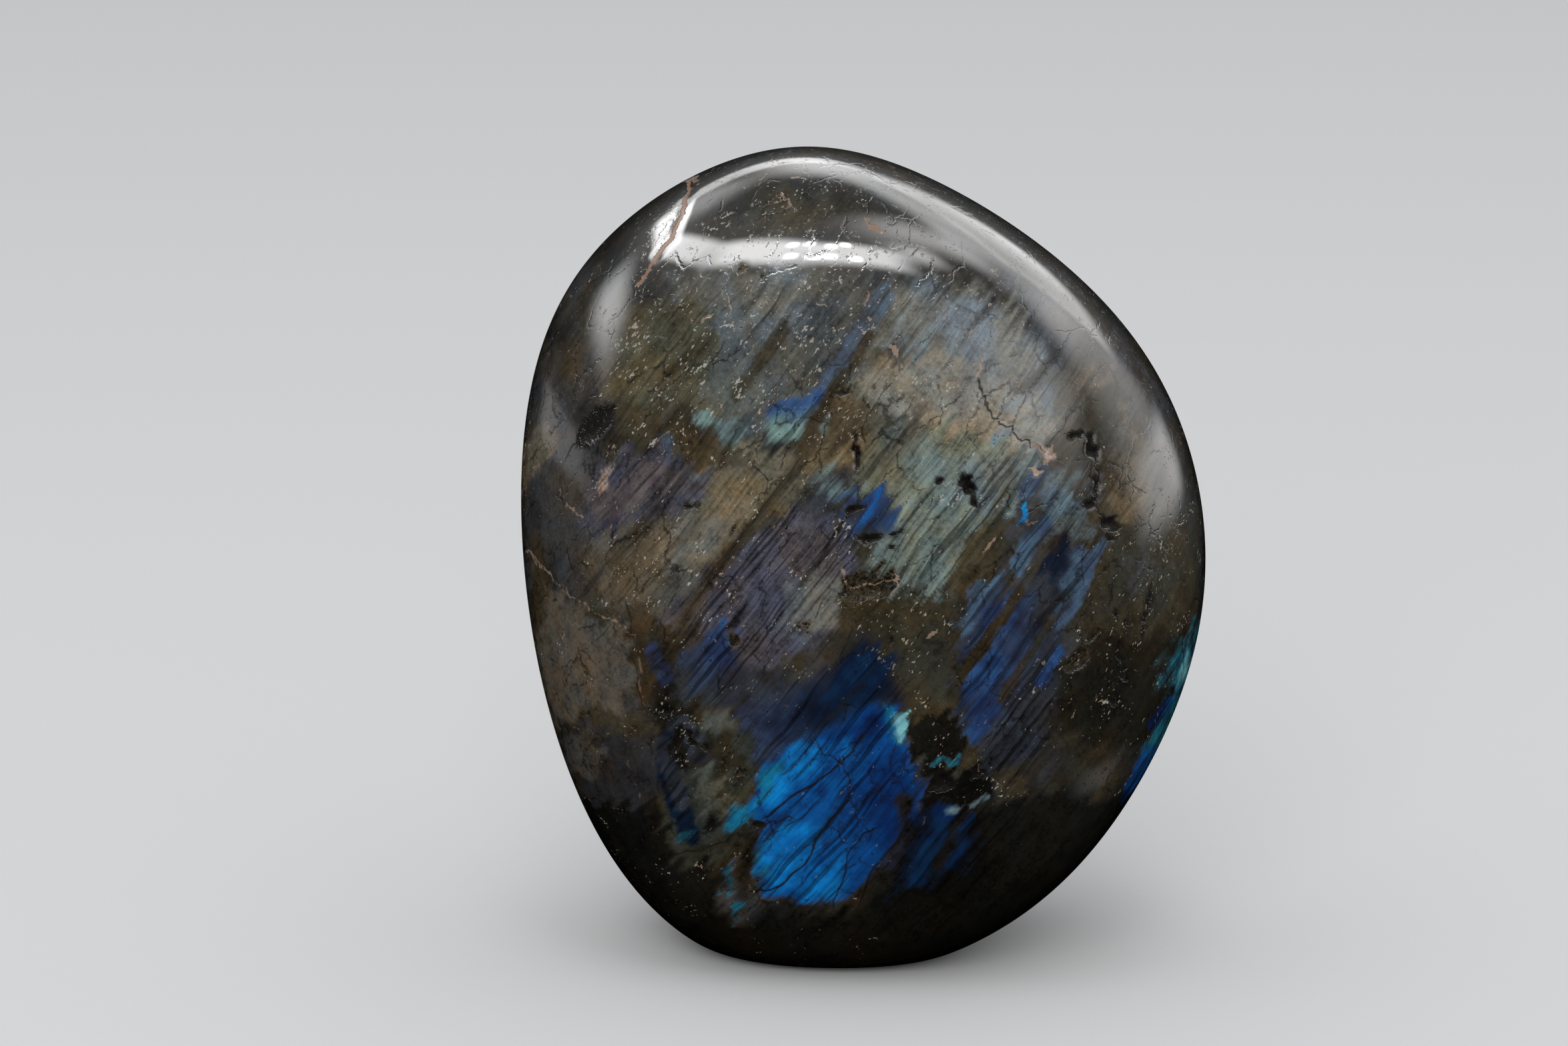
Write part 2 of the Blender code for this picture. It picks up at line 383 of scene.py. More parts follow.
@dataclass(frozen=True)
class Markings:
    """Every named marking: the cloudy body, darkened with painted shade where it curves under towards its base, the
    flash over it, dark streaks, seams, cracks, pits and grooves.

    Each lies over those before it. The flash shows a colour of its own, and streaks and pits put it out.
    """

    body: tuple[Patch | Stroke, ...] = (
        Patch(Tint.SMOKE, ((900, 330), (1000, 235), (1200, 210), (1400, 285), (1560, 405), (1500, 470), (1350, 440),
            (1200, 420), (1050, 420), (930, 470)), 5.0, banded=0.3, flecked=0.3),
        Patch(Tint.OLIVE, ((1100, 330), (1170, 280), (1260, 300), (1200, 345), (1120, 350)), 2.5, 0.35, flecked=0.5),
        Patch(Tint.COOL_GREY, ((1000, 410), (1180, 395), (1300, 420), (1330, 520), (1280, 630), (1180, 650),
            (1060, 640), (1020, 550)), 3.0, 0.95, banded=0.5, flecked=0.75),
        Patch(Tint.SAGE, ((1010, 565), (1090, 550), (1150, 575), (1110, 630), (1040, 625)), 2.0, 0.8, banded=0.3,
            flecked=1.0),
        Patch(Tint.OLIVE, ((935, 470), (1050, 440), (1085, 520), (1040, 600), (960, 650), (900, 600)), 2.5,
            banded=0.6, flecked=0.8),
        Patch(Tint.KHAKI, ((1000, 670), (1120, 655), (1200, 680), (1225, 620), (1280, 560), (1340, 585), (1300, 670),
            (1230, 720), (1180, 770), (1080, 800), (1000, 805), (1010, 720)), 2.5, flecked=0.5),
        Patch(Tint.OCHRE_SHADOW, ((915, 600), (985, 615), (1050, 650), (1106, 668), (1130, 700), (1050, 705),
            (985, 680), (925, 660)), 1.6, 0.8, flecked=0.7),
        Patch(Tint.PALE_GREY, ((1340, 425), (1480, 435), (1570, 520), (1600, 620), (1560, 665), (1480, 590),
            (1400, 540), (1320, 510)), 3.5, banded=0.7, flecked=0.4),
        # Partly painted reflection: this beige is as bright as the lamps' soft haze on the upper right, which is
        # painted into it.
        Patch(Tint.BEIGE, ((1285, 560), (1340, 538), (1420, 530), (1500, 560), (1590, 640), (1560, 680), (1480, 665),
            (1400, 640), (1330, 620), (1290, 590)), 2.0, 1.0, banded=0.3, flecked=0.8),
        Patch(Tint.KHAKI, ((1236, 590), (1290, 565), (1360, 570), (1400, 590), (1330, 612), (1262, 622)), 2.0, 0.4,
            flecked=0.9),
        Patch(Tint.SMOKE, ((1190, 415), (1310, 410), (1330, 470), (1290, 500), (1240, 590), (1195, 560),
            (1205, 480)), 3.0, 0.3, banded=0.5, flecked=0.9),
        Patch(Tint.WARM_GREY, ((1550, 560), (1640, 545), (1730, 660), (1775, 800), (1700, 840), (1660, 780),
            (1640, 700)), 3.0, banded=0.6),
        Patch(Tint.KHAKI, ((1676, 740), (1720, 730), (1750, 800), (1720, 830), (1680, 810)), 3.0, 0.6, banded=0.5),
        Patch(Tint.PALE_GREY, ((1120, 410), (1196, 398), (1210, 470), (1180, 500), (1130, 490)), 2.4, 0.6,
            banded=0.8, flecked=0.6),
        Patch(Tint.UMBER, ((1606, 650), (1634, 590), (1680, 572), (1676, 650), (1656, 720), (1628, 700)), 2.0, 0.9),
        Patch(Tint.UMBER, ((1236, 606), (1300, 600), (1320, 640), (1262, 668), (1196, 712), (1190, 660)), 2.4, 0.6,
            flecked=0.8),
        Patch(Tint.TEAL_GREY, ((1285, 720), (1330, 640), (1420, 640), (1500, 660), (1545, 690), (1540, 740),
            (1500, 790), (1450, 860), (1415, 895), (1350, 885), (1300, 850), (1330, 800)), 1.6, banded=0.9,
            flecked=0.5),
        Patch(Tint.SAGE, ((1290, 690), (1310, 640), (1390, 640), (1360, 700), (1330, 740)), 1.5, 0.8, banded=0.9),
        Patch(Tint.OCHRE_SHADOW, ((1440, 806), (1485, 770), (1510, 800), (1490, 860), (1440, 905), (1415, 880)), 1.0,
            0.95, banded=0.6),
        Patch(Tint.PALE_GREY, ((1442, 700), (1500, 688), (1545, 694), (1538, 752), (1480, 782), (1430, 752)), 1.8,
            0.6, banded=0.9, flecked=0.5),
        Patch(Tint.PALE_SKY, ((1556, 740), (1590, 700), (1620, 705), (1618, 760), (1640, 800), (1600, 812),
            (1572, 790)), 1.6, 0.7, banded=0.9),
        Patch(Tint.MOSS, ((1640, 790), (1800, 750), (1800, 930), (1720, 1000), (1640, 980), (1590, 900)), 2.5,
            banded=0.3, flecked=0.5),
        Patch(Tint.SLATE, ((1690, 830), (1720, 815), (1740, 860), (1700, 880)), 1.6, 0.5),
        # Partly the stone's dark olive and partly painted shade on the lower right flank, which turns down and away
        # from the light.
        Patch(Tint.DARK_OLIVE, ((1560, 985), (1660, 955), (1800, 940), (1770, 1090), (1700, 1130), (1600, 1110),
            (1530, 1080)), 3.0, banded=0.3, flecked=0.5),
        Patch(Tint.MAUVE_GREY, ((1475, 1110), (1500, 1050), (1560, 985), (1600, 1020), (1570, 1100), (1520, 1170),
            (1470, 1180)), 1.6, 0.85, banded=1.0),
        Patch(Tint.UMBER, ((1572, 1150), (1620, 1128), (1690, 1130), (1672, 1170), (1632, 1184), (1590, 1180)), 2.0,
            0.7, banded=0.2),
        # Painted shade: the lower right, the bottom, a band along the base and the lower left foot, where the stone
        # curves under, are painted dark.
        Patch(Tint.SHADE, ((1480, 1200), (1600, 1180), (1710, 1184), (1690, 1300), (1600, 1430), (1420, 1430),
            (1430, 1300)), 3.5, banded=0.4, flecked=0.03),
        Patch(Tint.SOOT_AND_SHADE, ((900, 1330), (1130, 1370), (1300, 1362), (1480, 1330), (1620, 1290), (1520, 1450),
            (1200, 1490), (980, 1440)), 4.0, banded=0.3, flecked=0.02),
        Patch(Tint.UMBER_SHADE, ((1060, 1400), (1200, 1385), (1340, 1400), (1300, 1440), (1120, 1440)), 3.0, 0.7,
            banded=0.2),
        Patch(Tint.SHADE, ((830, 1190), (900, 1195), (985, 1205), (1030, 1270), (1090, 1290), (1060, 1390),
            (960, 1380), (860, 1260)), 2.0, banded=0.3),
        Patch(Tint.GLASS_GREY, ((815, 885), (880, 905), (940, 945), (950, 1020), (930, 1070), (870, 1075),
            (825, 1095), (805, 1010)), 1.2, banded=0.15, flecked=0.1),
        Patch(Tint.PEWTER, ((830, 1102), (900, 1105), (975, 1090), (1000, 1150), (975, 1205), (890, 1200),
            (845, 1160)), 1.2, 0.95, banded=0.15),
        Patch(Tint.GLASS_GREY, ((838, 1106), (880, 1104), (905, 1130), (880, 1170), (850, 1155)), 1.2, 0.6,
            banded=0.15),
        Patch(Tint.FLANK, ((780, 620), (850, 600), (905, 700), (885, 830), (800, 830), (770, 720)), 2.5, banded=0.2),
        Patch(Tint.KHAKI, ((768, 745), (775, 700), (800, 640), (848, 652), (800, 706)), 1.0, 0.75, flecked=0.6),
        Patch(Tint.VIOLET_GREY, ((885, 690), (1000, 670), (1065, 720), (1010, 795), (920, 830), (875, 780)), 2.0,
            banded=0.6, flecked=0.4),
        Patch(Tint.WARM_GREY, ((880, 800), (1010, 765), (1100, 775), (1040, 890), (960, 940), (900, 885)), 2.0,
            banded=0.5, flecked=0.5),
        Patch(Tint.BEIGE, ((985, 790), (1060, 760), (1140, 740), (1130, 775), (1060, 840), (1000, 850)), 2.5, 0.45,
            banded=0.6, flecked=0.6),
        Patch(Tint.VIOLET_GREY, ((1000, 920), (1090, 825), (1190, 765), (1280, 790), (1290, 870), (1230, 960),
            (1140, 1010), (1040, 1010)), 2.0, banded=1.0, flecked=0.4),
        Patch(Tint.PALE_GREY, ((1170, 900), (1200, 868), (1262, 868), (1278, 915), (1220, 950), (1175, 935)), 1.6,
            0.75, banded=0.6),
        Patch(Tint.UMBER, ((985, 935), (1045, 938), (1055, 985), (1005, 1010), (975, 980)), 1.2, 0.7, banded=0.7),
        Patch(Tint.OCHRE_SHADOW, ((1270, 880), (1355, 890), (1430, 900), (1400, 1000), (1440, 1080), (1420, 1120),
            (1362, 1110), (1350, 1050), (1300, 1000), (1262, 930)), 1.4, banded=0.2, flecked=0.9),
        Patch(Tint.UMBER, ((1282, 900), (1330, 915), (1345, 960), (1300, 960), (1275, 930)), 1.2, 0.7, flecked=0.7),
        Patch(Tint.MOSS, ((1350, 990), (1400, 930), (1450, 940), (1430, 1040), (1390, 1065), (1352, 1050)), 1.2, 0.9,
            banded=0.3, flecked=0.5),
        Patch(Tint.SHADE, ((1352, 1080), (1395, 1068), (1447, 1090), (1450, 1140), (1400, 1150), (1362, 1130)), 1.0,
            banded=0.2, flecked=0.5),
        Patch(Tint.SOOT_AND_SHADE, ((1355, 1195), (1480, 1212), (1475, 1330), (1400, 1400), (1290, 1390), (1296, 1345),
            (1340, 1290)), 2.5, flecked=0.0),
        Patch(Tint.SOOT_AND_SHADE, ((1385, 1160), (1400, 1150), (1450, 1150), (1490, 1170), (1480, 1195), (1445, 1212),
            (1392, 1205)), 0.7, banded=0.1, flecked=0.3),
        Patch(Tint.OCHRE_SHADOW, ((1486, 1160), (1530, 1150), (1530, 1200), (1490, 1205)), 1.2, 0.7, flecked=1.0),
        Patch(Tint.OLIVE_SHADE, ((1000, 1160), (1050, 1090), (1120, 1110), (1142, 1160), (1100, 1290), (1020, 1290),
            (990, 1240)), 1.5, 0.9, banded=0.3),
        Patch(Tint.SAGE, ((1036, 1165), (1062, 1155), (1085, 1180), (1105, 1215), (1080, 1235), (1050, 1215)), 1.0,
            0.65, banded=0.2),
        Patch(Tint.UMBER, ((985, 1060), (1030, 1050), (1060, 1100), (1118, 1130), (1122, 1165), (1050, 1150),
            (1000, 1120)), 1.0, 0.9, banded=0.2, flecked=0.7),
        Patch(Tint.SOOT_AND_SHADE, ((975, 1056), (1016, 1052), (1046, 1104), (1030, 1150), (1002, 1130)), 1.4, 0.75,
            banded=0.2, flecked=0.6),
        Patch(Tint.TEAL_GREY, ((1050, 1082), (1085, 1070), (1115, 1080), (1090, 1100), (1060, 1105)), 1.6, 0.35,
            banded=0.2),
        Patch(Tint.UMBER_SHADE, ((950, 950), (1000, 965), (1012, 1060), (965, 1075)), 1.6, 0.85, banded=0.3),
        Patch(Tint.GOLDEN, ((940, 906), (975, 910), (975, 1052), (950, 1060), (944, 980)), 0.9, 0.85, banded=0.1,
            flecked=0.5),
        Patch(Tint.OCHRE_SHADOW, ((862, 1078), (885, 1055), (930, 1068), (955, 1062), (958, 1095), (900, 1096)), 0.5,
            0.85, banded=0.1, flecked=0.8),
        Patch(Tint.GOLDEN, ((1112, 1290), (1128, 1280), (1132, 1320), (1118, 1328)), 0.6, 0.7),
        *on_back(
            Patch(Tint.WARM_GREY, ((-34, 84), (-8, 104), (26, 98), (38, 76), (20, 70), (-6, 78), (-30, 70)), 5.0,
                0.6),
            Patch(Tint.TEAL_GREY, ((-33, 70), (-14, 88), (16, 86), (12, 70), (-2, 58), (-14, 50), (-30, 54)), 2.5,
                0.95, banded=1.0),
            Patch(Tint.KHAKI, ((10, 86), (32, 76), (36, 56), (18, 48), (4, 60), (12, 72)), 2.5, 0.9),
            Patch(Tint.PALE_GREY, ((-12, 80), (4, 90), (18, 84), (8, 72), (-6, 68)), 3.0, 0.5, banded=1.0),
            Patch(Tint.VIOLET_GREY, ((-38, 52), (-16, 54), (-2, 40), (-10, 22), (-30, 28)), 2.5, banded=0.9),
            Patch(Tint.UMBER, ((-8, 58), (6, 62), (12, 50), (2, 42), (-10, 48)), 1.5, 0.9),
            Patch(Tint.OLIVE, ((12, 48), (36, 52), (38, 34), (20, 24), (6, 34)), 3.0, 0.9),
            Patch(Tint.BEIGE, ((20, 66), (30, 66), (34, 54), (26, 48), (18, 56)), 2.0, 0.7),
            # Painted shade along the bottom of the back, where it curves under towards the base.
            Patch(Tint.SHADE, ((-36, 22), (36, 22), (24, 2), (-24, 2)), 5.0),
        ),
    )
    # The flash is a painted sheen: the blue light that the inner layers send back, laid in as a colour of its own.
    flash: tuple[Patch | Stroke, ...] = (
        Patch(Tint.SLATE_BLUE, ((1015, 1005), (1060, 955), (1150, 985), (1210, 1020), (1200, 1090), (1130, 1090),
            (1050, 1065)), 3.8, 0.75),
        Patch(Tint.INDIGO, ((1112, 1066), (1180, 1040), (1246, 1022), (1240, 1078), (1180, 1130), (1136, 1136)), 5.2,
            0.7, 0.6),
        Patch(Tint.DUSK_BLUE, ((1160, 1085), (1230, 1010), (1290, 945), (1345, 990), (1350, 1050), (1290, 1070),
            (1222, 1110)), 6.0, 0.9, 0.6),
        Patch(Tint.POOL_BLUE, ((1240, 1040), (1262, 990), (1312, 975), (1330, 1020), (1285, 1062)), 4.5, 0.7, 0.5),
        Patch(Tint.AZURE, ((1220, 1106), (1292, 1063), (1347, 1058), (1356, 1118), (1384, 1180), (1368, 1240),
            (1332, 1300), (1276, 1344), (1204, 1350), (1140, 1340), (1128, 1300), (1134, 1262), (1124, 1200),
            (1146, 1148)), 2.4, 1.0, 0.4),
        Patch(Tint.BRIGHT_AZURE, ((1136, 1275), (1150, 1245), (1190, 1232), (1228, 1246), (1215, 1300), (1175, 1336),
            (1146, 1330)), 2.7, 1.0, 0.5),
        Patch(Tint.BRIGHT_AZURE, ((1200, 1340), (1222, 1305), (1262, 1285), (1270, 1320), (1252, 1352),
            (1210, 1354)), 3.0, 0.7, 0.5),
        Patch(Tint.BRIGHT_AZURE, ((1142, 1205), (1152, 1160), (1190, 1122), (1228, 1118), (1236, 1142), (1190, 1180),
            (1160, 1215)), 2.7, 1.0, 0.5),
        Patch(Tint.BRIGHT_AZURE, ((1240, 1128), (1268, 1108), (1296, 1112), (1282, 1138), (1262, 1146)), 1.5, 0.3),
        Patch(Tint.ROYAL, ((1250, 1096), (1300, 1066), (1322, 1076), (1318, 1110), (1290, 1126), (1262, 1118)), 3.3,
            0.95, 0.5),
        Patch(Tint.ROYAL, ((1300, 1150), (1350, 1130), (1380, 1178), (1362, 1240), (1325, 1300), (1290, 1345),
            (1270, 1310), (1290, 1220)), 4.5, 0.85, 0.5),
        Patch(Tint.TURQUOISE, ((1088, 1228), (1100, 1212), (1122, 1206), (1126, 1236), (1108, 1250), (1092, 1246)),
            2.7, 0.9, 0.5),
        Patch(Tint.TURQUOISE, ((1136, 1200), (1142, 1160), (1160, 1140), (1172, 1150), (1156, 1190)), 1.5, 0.9),
        Patch(Tint.SEA_TEAL, ((1128, 1262), (1140, 1260), (1144, 1335), (1130, 1335)), 1.2, 0.7),
        Patch(Tint.AZURE, ((1262, 1262), (1310, 1240), (1330, 1280), (1300, 1320), (1262, 1316)), 3.6, 0.5, 0.5),
        Patch(Tint.ICE, ((1344, 1068), (1360, 1064), (1362, 1085), (1354, 1112), (1346, 1100)), 0.8, 1.0, 0.4),
        Patch(Tint.TURQUOISE, ((1324, 1056), (1342, 1062), (1350, 1112), (1336, 1100)), 1.0, 0.8, 0.4),
        Patch(Tint.DUSK_BLUE, ((1360, 1200), (1430, 1212), (1470, 1240), (1450, 1300), (1400, 1330), (1340, 1335),
            (1345, 1270)), 4.5, 0.7),
        Stroke(Tint.POOL_BLUE, ((1414, 1218), (1408, 1245), (1386, 1285), (1374, 1318)), 1.0, 1.2, 0.8),
        Stroke(Tint.POOL_BLUE, ((1452, 1226), (1440, 1262), (1425, 1296)), 0.8, 1.0, 0.8),
        Stroke(Tint.ROYAL, ((1404, 1216), (1440, 1218)), 0.8, 0.8, 0.7),
        Patch(Tint.SLATE_BLUE, ((1600, 815), (1560, 860), (1478, 900), (1440, 965), (1425, 1030), (1440, 1090),
            (1486, 1120), (1530, 1040), (1590, 970), (1615, 900), (1625, 850)), 3.0, 0.85),
        Patch(Tint.INDIGO, ((1540, 885), (1478, 905), (1440, 965), (1428, 1030), (1444, 1090), (1480, 1100),
            (1520, 1030), (1560, 960)), 3.6, 0.85),
        Patch(Tint.IRIS, ((1440, 1020), (1462, 975), (1500, 970), (1508, 1010), (1470, 1050), (1445, 1060)), 1.8),
        Patch(Tint.IRIS, ((1450, 1080), (1480, 1040), (1500, 1060), (1465, 1115), (1448, 1110)), 1.5, 0.9),
        Patch(Tint.IRIS, ((1468, 935), (1500, 900), (1532, 905), (1520, 950), (1490, 965)), 2.1, 0.6),
        Patch(Tint.STEEL_BLUE, ((1440, 905), (1470, 870), (1500, 860), (1480, 905), (1450, 950), (1432, 940)), 2.1,
            0.75),
        Patch(Tint.STEEL_BLUE, ((1588, 880), (1610, 830), (1650, 810), (1640, 860), (1605, 930), (1585, 950)), 1.5,
            0.85),
        Patch(Tint.DUSK_BLUE, ((1560, 860), (1572, 815), (1590, 800), (1602, 840), (1585, 880)), 1.5, 0.9),
        Stroke(Tint.IRIS, ((1590, 970), (1575, 1000), (1560, 1022)), 0.8, 0.6, 0.8),
        Patch(Tint.INDIGO, ((1262, 740), (1320, 732), (1345, 765), (1335, 805), (1290, 805), (1258, 775)), 3.0,
            0.75),
        Patch(Tint.IRIS, ((1290, 745), (1328, 742), (1336, 772), (1316, 790), (1296, 776)), 2.6, 0.8),
        Patch(Tint.BRIGHT_AZURE, ((1294, 748), (1312, 742), (1320, 754), (1300, 762)), 1.8, 0.7),
        Patch(Tint.STEEL_BLUE, ((1245, 742), (1275, 728), (1285, 745), (1260, 758)), 1.2, 0.8),
        Patch(Tint.SPARK, ((1519, 776), (1536, 772), (1538, 788), (1522, 791)), 0.6),
        Patch(Tint.TURQUOISE, ((1562, 772), (1578, 768), (1578, 782), (1566, 790)), 0.6, 0.9),
        Stroke(Tint.STEEL_BLUE, ((1565, 785), (1546, 812), (1525, 846)), 0.9, 1.3, 0.95),
        Patch(Tint.PALE_SKY, ((1578, 752), (1600, 738), (1625, 742), (1618, 768), (1590, 770)), 1.4, 0.8),
        Stroke(Tint.STEEL_BLUE, ((1565, 704), (1548, 722), (1534, 740)), 1.3, 0.8, 0.85),
        Stroke(Tint.STEEL_BLUE, ((1322, 441), (1290, 495), (1262, 550), (1225, 605), (1190, 618)), 1.5, 2.2, 0.6),
        Stroke(Tint.IRIS, ((1226, 602), (1205, 612), (1160, 614)), 0.9, 1.9, 0.8),
        Stroke(Tint.PALE_TEAL, ((1170, 640), (1200, 642), (1222, 632)), 1.2, 2.6, 0.55),
        Stroke(Tint.PALE_TEAL, ((1048, 627), (1062, 630), (1082, 640)), 0.7, 1.6, 0.7),
        Stroke(Tint.PALE_TEAL, ((1096, 656), (1106, 642)), 0.8, 1.6, 0.7),
        Patch(Tint.DUSK_BLUE, ((872, 640), (908, 628), (908, 668), (885, 680)), 1.2),
        Patch(Tint.LILAC, ((905, 720), (960, 690), (1030, 690), (1040, 735), (960, 765), (900, 800)), 3.0, 0.75),
        Patch(Tint.INDIGO, ((908, 790), (925, 775), (942, 780), (928, 800)), 1.4, 0.9),
        Patch(Tint.STEEL_BLUE, ((965, 660), (990, 650), (1010, 665), (985, 680)), 1.4, 0.5),
        Patch(Tint.PALE_SKY, ((1030, 700), (1046, 700), (1056, 725), (1044, 732)), 1.8, 0.4),
        Patch(Tint.IRIS, ((1048, 965), (1080, 935), (1106, 945), (1090, 990), (1060, 1000)), 2.4, 0.65),
        Patch(Tint.INDIGO, ((1015, 1000), (1060, 960), (1100, 990), (1080, 1030), (1030, 1030)), 2.4, 0.5),
        Patch(Tint.INDIGO, ((1040, 890), (1090, 840), (1115, 860), (1060, 930)), 2.4, 0.45),
        Stroke(Tint.INDIGO, ((978, 975), (985, 1000), (998, 1018)), 1.4, 1.2, 0.5),
        Stroke(Tint.DUSK_BLUE, ((1000, 1110), (1003, 1171), (1020, 1215), (1034, 1250)), 1.6, 1.2, 0.95),
        Stroke(Tint.SLATE_BLUE, ((990, 1115), (1008, 1165), (1022, 1205)), 1.2, 1.0, 0.8),
        Stroke(Tint.SEA_TEAL, ((1016, 1260), (1034, 1250)), 0.5, 0.8, 0.3),
        Stroke(Tint.SLATE_BLUE, ((1015, 1090), (1045, 1110), (1050, 1130)), 2.2, 0.9, 0.8),
        Patch(Tint.SEA_TEAL, ((1742, 1026), (1746, 992), (1772, 965), (1806, 930), (1800, 1030), (1762, 1046)), 3.9,
            0.9),
        Patch(Tint.TURQUOISE, ((1762, 1012), (1778, 984), (1806, 950), (1800, 1020), (1774, 1040)), 2.4, 1.0),
        Patch(Tint.ICE, ((1770, 1006), (1786, 976), (1800, 970), (1792, 1010), (1776, 1030)), 2.4, 0.9),
        Stroke(Tint.BRIGHT_AZURE, ((1744, 1064), (1756, 1052)), 0.8, 0.6, 0.9),
        Stroke(Tint.ROYAL, ((1730, 1084), (1748, 1060)), 1.4, 0.9, 0.8),
        Stroke(Tint.POOL_BLUE, ((1790, 1040), (1765, 1095), (1735, 1150), (1700, 1205)), 2.6, 1.4, 0.95),
        Stroke(Tint.SEA_TEAL, ((1768, 1060), (1748, 1094), (1728, 1126)), 1.2, 1.2, 0.95),
        Stroke(Tint.AZURE, ((1728, 1126), (1708, 1156), (1694, 1180)), 0.8, 1.2, 0.8),
        Stroke(Tint.SEA_TEAL, ((1399, 1146), (1412, 1136), (1426, 1144)), 0.4, 0.6, 0.6, 0.15),
        Stroke(Tint.SEA_TEAL, ((1434, 1144), (1438, 1134)), 0.4, 0.5, 0.6, 0.15),
        Stroke(Tint.PALE_TEAL, ((1422, 1216), (1454, 1208), (1478, 1193)), 0.3, 0.5, 0.7, 0.15),
        Patch(Tint.SEA_TEAL, ((1071, 1306), (1090, 1300), (1102, 1320), (1096, 1342), (1080, 1330)), 1.0, 0.9),
        Patch(Tint.LILAC, ((1086, 1300), (1098, 1285), (1105, 1300), (1100, 1318)), 0.9, 0.7),
        Patch(Tint.SEA_TEAL, ((1098, 1352), (1116, 1354), (1114, 1368), (1102, 1376)), 0.9, 0.9),
        Patch(Tint.PALE_SKY, ((1475, 560), (1520, 540), (1540, 590), (1505, 615)), 3.8, 0.5),
        Patch(Tint.PALE_SKY, ((1330, 470), (1420, 460), (1400, 540), (1330, 545)), 4.5, 0.35),
        Patch(Tint.PALE_SKY, ((1480, 660), (1500, 640), (1510, 665), (1490, 680)), 1.5, 0.5),
        Patch(Tint.PALE_TEAL, ((1215, 700), (1255, 690), (1275, 720), (1240, 745), (1210, 735)), 2.4, 0.5),
        *on_back(
            Patch(Tint.AZURE, ((-25, 74), (-20, 86), (-8, 92), (2, 88), (-3, 76), (-12, 68), (-22, 66)), 2.6, 0.95),
            Patch(Tint.SEA_TEAL, ((-20, 80), (-10, 88), (-2, 86), (-8, 78), (-16, 74)), 4.0, 0.8),
            Patch(Tint.ROYAL, ((-28, 64), (-20, 70), (-10, 66), (-14, 58), (-24, 56)), 4.2, 0.85),
            Patch(Tint.INDIGO, ((-10, 44), (6, 44), (6, 28), (-8, 20), (-20, 30)), 4.5, 0.85),
            Patch(Tint.IRIS, ((-6, 40), (3, 41), (2, 32), (-5, 30)), 3.6, 0.8),
            Patch(Tint.STEEL_BLUE, ((18, 72), (28, 64), (24, 56), (15, 62)), 4.0, 0.6),
            Stroke(Tint.STEEL_BLUE, ((12, 94), (5, 84), (-2, 74)), 1.8, 1.8, 0.75),
            Patch(Tint.POOL_BLUE, ((24, 40), (32, 44), (34, 34), (26, 30)), 5.0, 0.7),
            Patch(Tint.SLATE_BLUE, ((-36, 52), (-26, 52), (-24, 40), (-34, 38)), 4.5, 0.6),
        ),
    )
    streaks: tuple[Stroke, ...] = (
        Stroke(Tint.OCHRE_SHADOW, ((1264, 560), (1222, 625), (1195, 698), (1145, 764), (1098, 822), (1052, 887),
            (1022, 933)), 1.0, 1.0, 0.75),
        Stroke(Tint.UMBER, ((1425, 1041), (1455, 991), (1500, 928), (1530, 885)), 1.2, 0.6, 0.9),
        Stroke(Tint.OLIVE, ((1421, 895), (1455, 835), (1486, 770), (1520, 715)), 0.9, 0.6, 0.7),
        Stroke(Tint.UMBER, ((1501, 1050), (1540, 985), (1575, 930)), 0.7, 0.6, 0.8),
        Stroke(Tint.OCHRE_SHADOW, ((1103, 592), (1140, 545), (1176, 494)), 1.4, 0.7, 0.85),
        Stroke(Tint.OCHRE_SHADOW, ((1005, 559), (1040, 525), (1066, 498)), 1.0, 0.6, 0.8),
        Stroke(Tint.UMBER, ((1226, 626), (1262, 570), (1304, 505)), 0.8, 0.7, 0.85),
        Stroke(Tint.SLATE, ((1473, 473), (1493, 445), (1512, 415)), 0.6, 0.6, 0.8),
        Stroke(Tint.DARK_OLIVE, ((1538, 579), (1560, 555), (1583, 530)), 0.9, 0.7, 0.8),
        Stroke(Tint.UMBER, ((1618, 640), (1640, 612), (1664, 590)), 1.2, 1.2, 0.7),
        Stroke(Tint.WARM_GREY, ((1380, 610), (1355, 650), (1330, 690)), 0.8, 0.7, 0.6),
        Stroke(Tint.UMBER, ((1006, 706), (975, 760), (940, 815), (914, 850)), 0.7, 0.8, 0.6),
        Stroke(Tint.UMBER, ((1142, 1236), (1110, 1250), (1060, 1272), (1030, 1280)), 0.8, 0.7, 0.6),
        Stroke(Tint.UMBER, ((1112, 1262), (1090, 1290), (1068, 1310)), 0.7, 0.7, 0.6),
        Stroke(Tint.UMBER_SHADE, ((1126, 1256), (1118, 1300), (1112, 1345)), 0.8, 0.6, 0.8),
        Stroke(Tint.UMBER_SHADE, ((1352, 1200), (1362, 1250), (1330, 1300), (1290, 1350)), 1.2, 1.2, 0.6),
        Stroke(Tint.UMBER_SHADE, ((1446, 1218), (1425, 1260), (1404, 1300)), 1.0, 0.8, 0.7),
        *on_back(
            Stroke(Tint.UMBER, ((10, 92), (-4, 73), (-14, 58), (-20, 50)), 1.1, 0.6, 0.7),
            Stroke(Tint.SOOT_AND_SHADE, ((-8, 92), (-16, 80), (-24, 68)), 0.5, 0.4, 0.7),
            Stroke(Tint.SOOT_AND_SHADE, ((0, 88), (-8, 78), (-17, 66)), 0.5, 0.4, 0.6),
            Stroke(Tint.UMBER, ((8, 46), (0, 35), (-8, 22)), 1.2, 0.6, 0.7),
            Stroke(Tint.OCHRE_SHADOW, ((32, 74), (22, 60), (14, 48)), 1.4, 0.8, 0.6),
        ),
    )
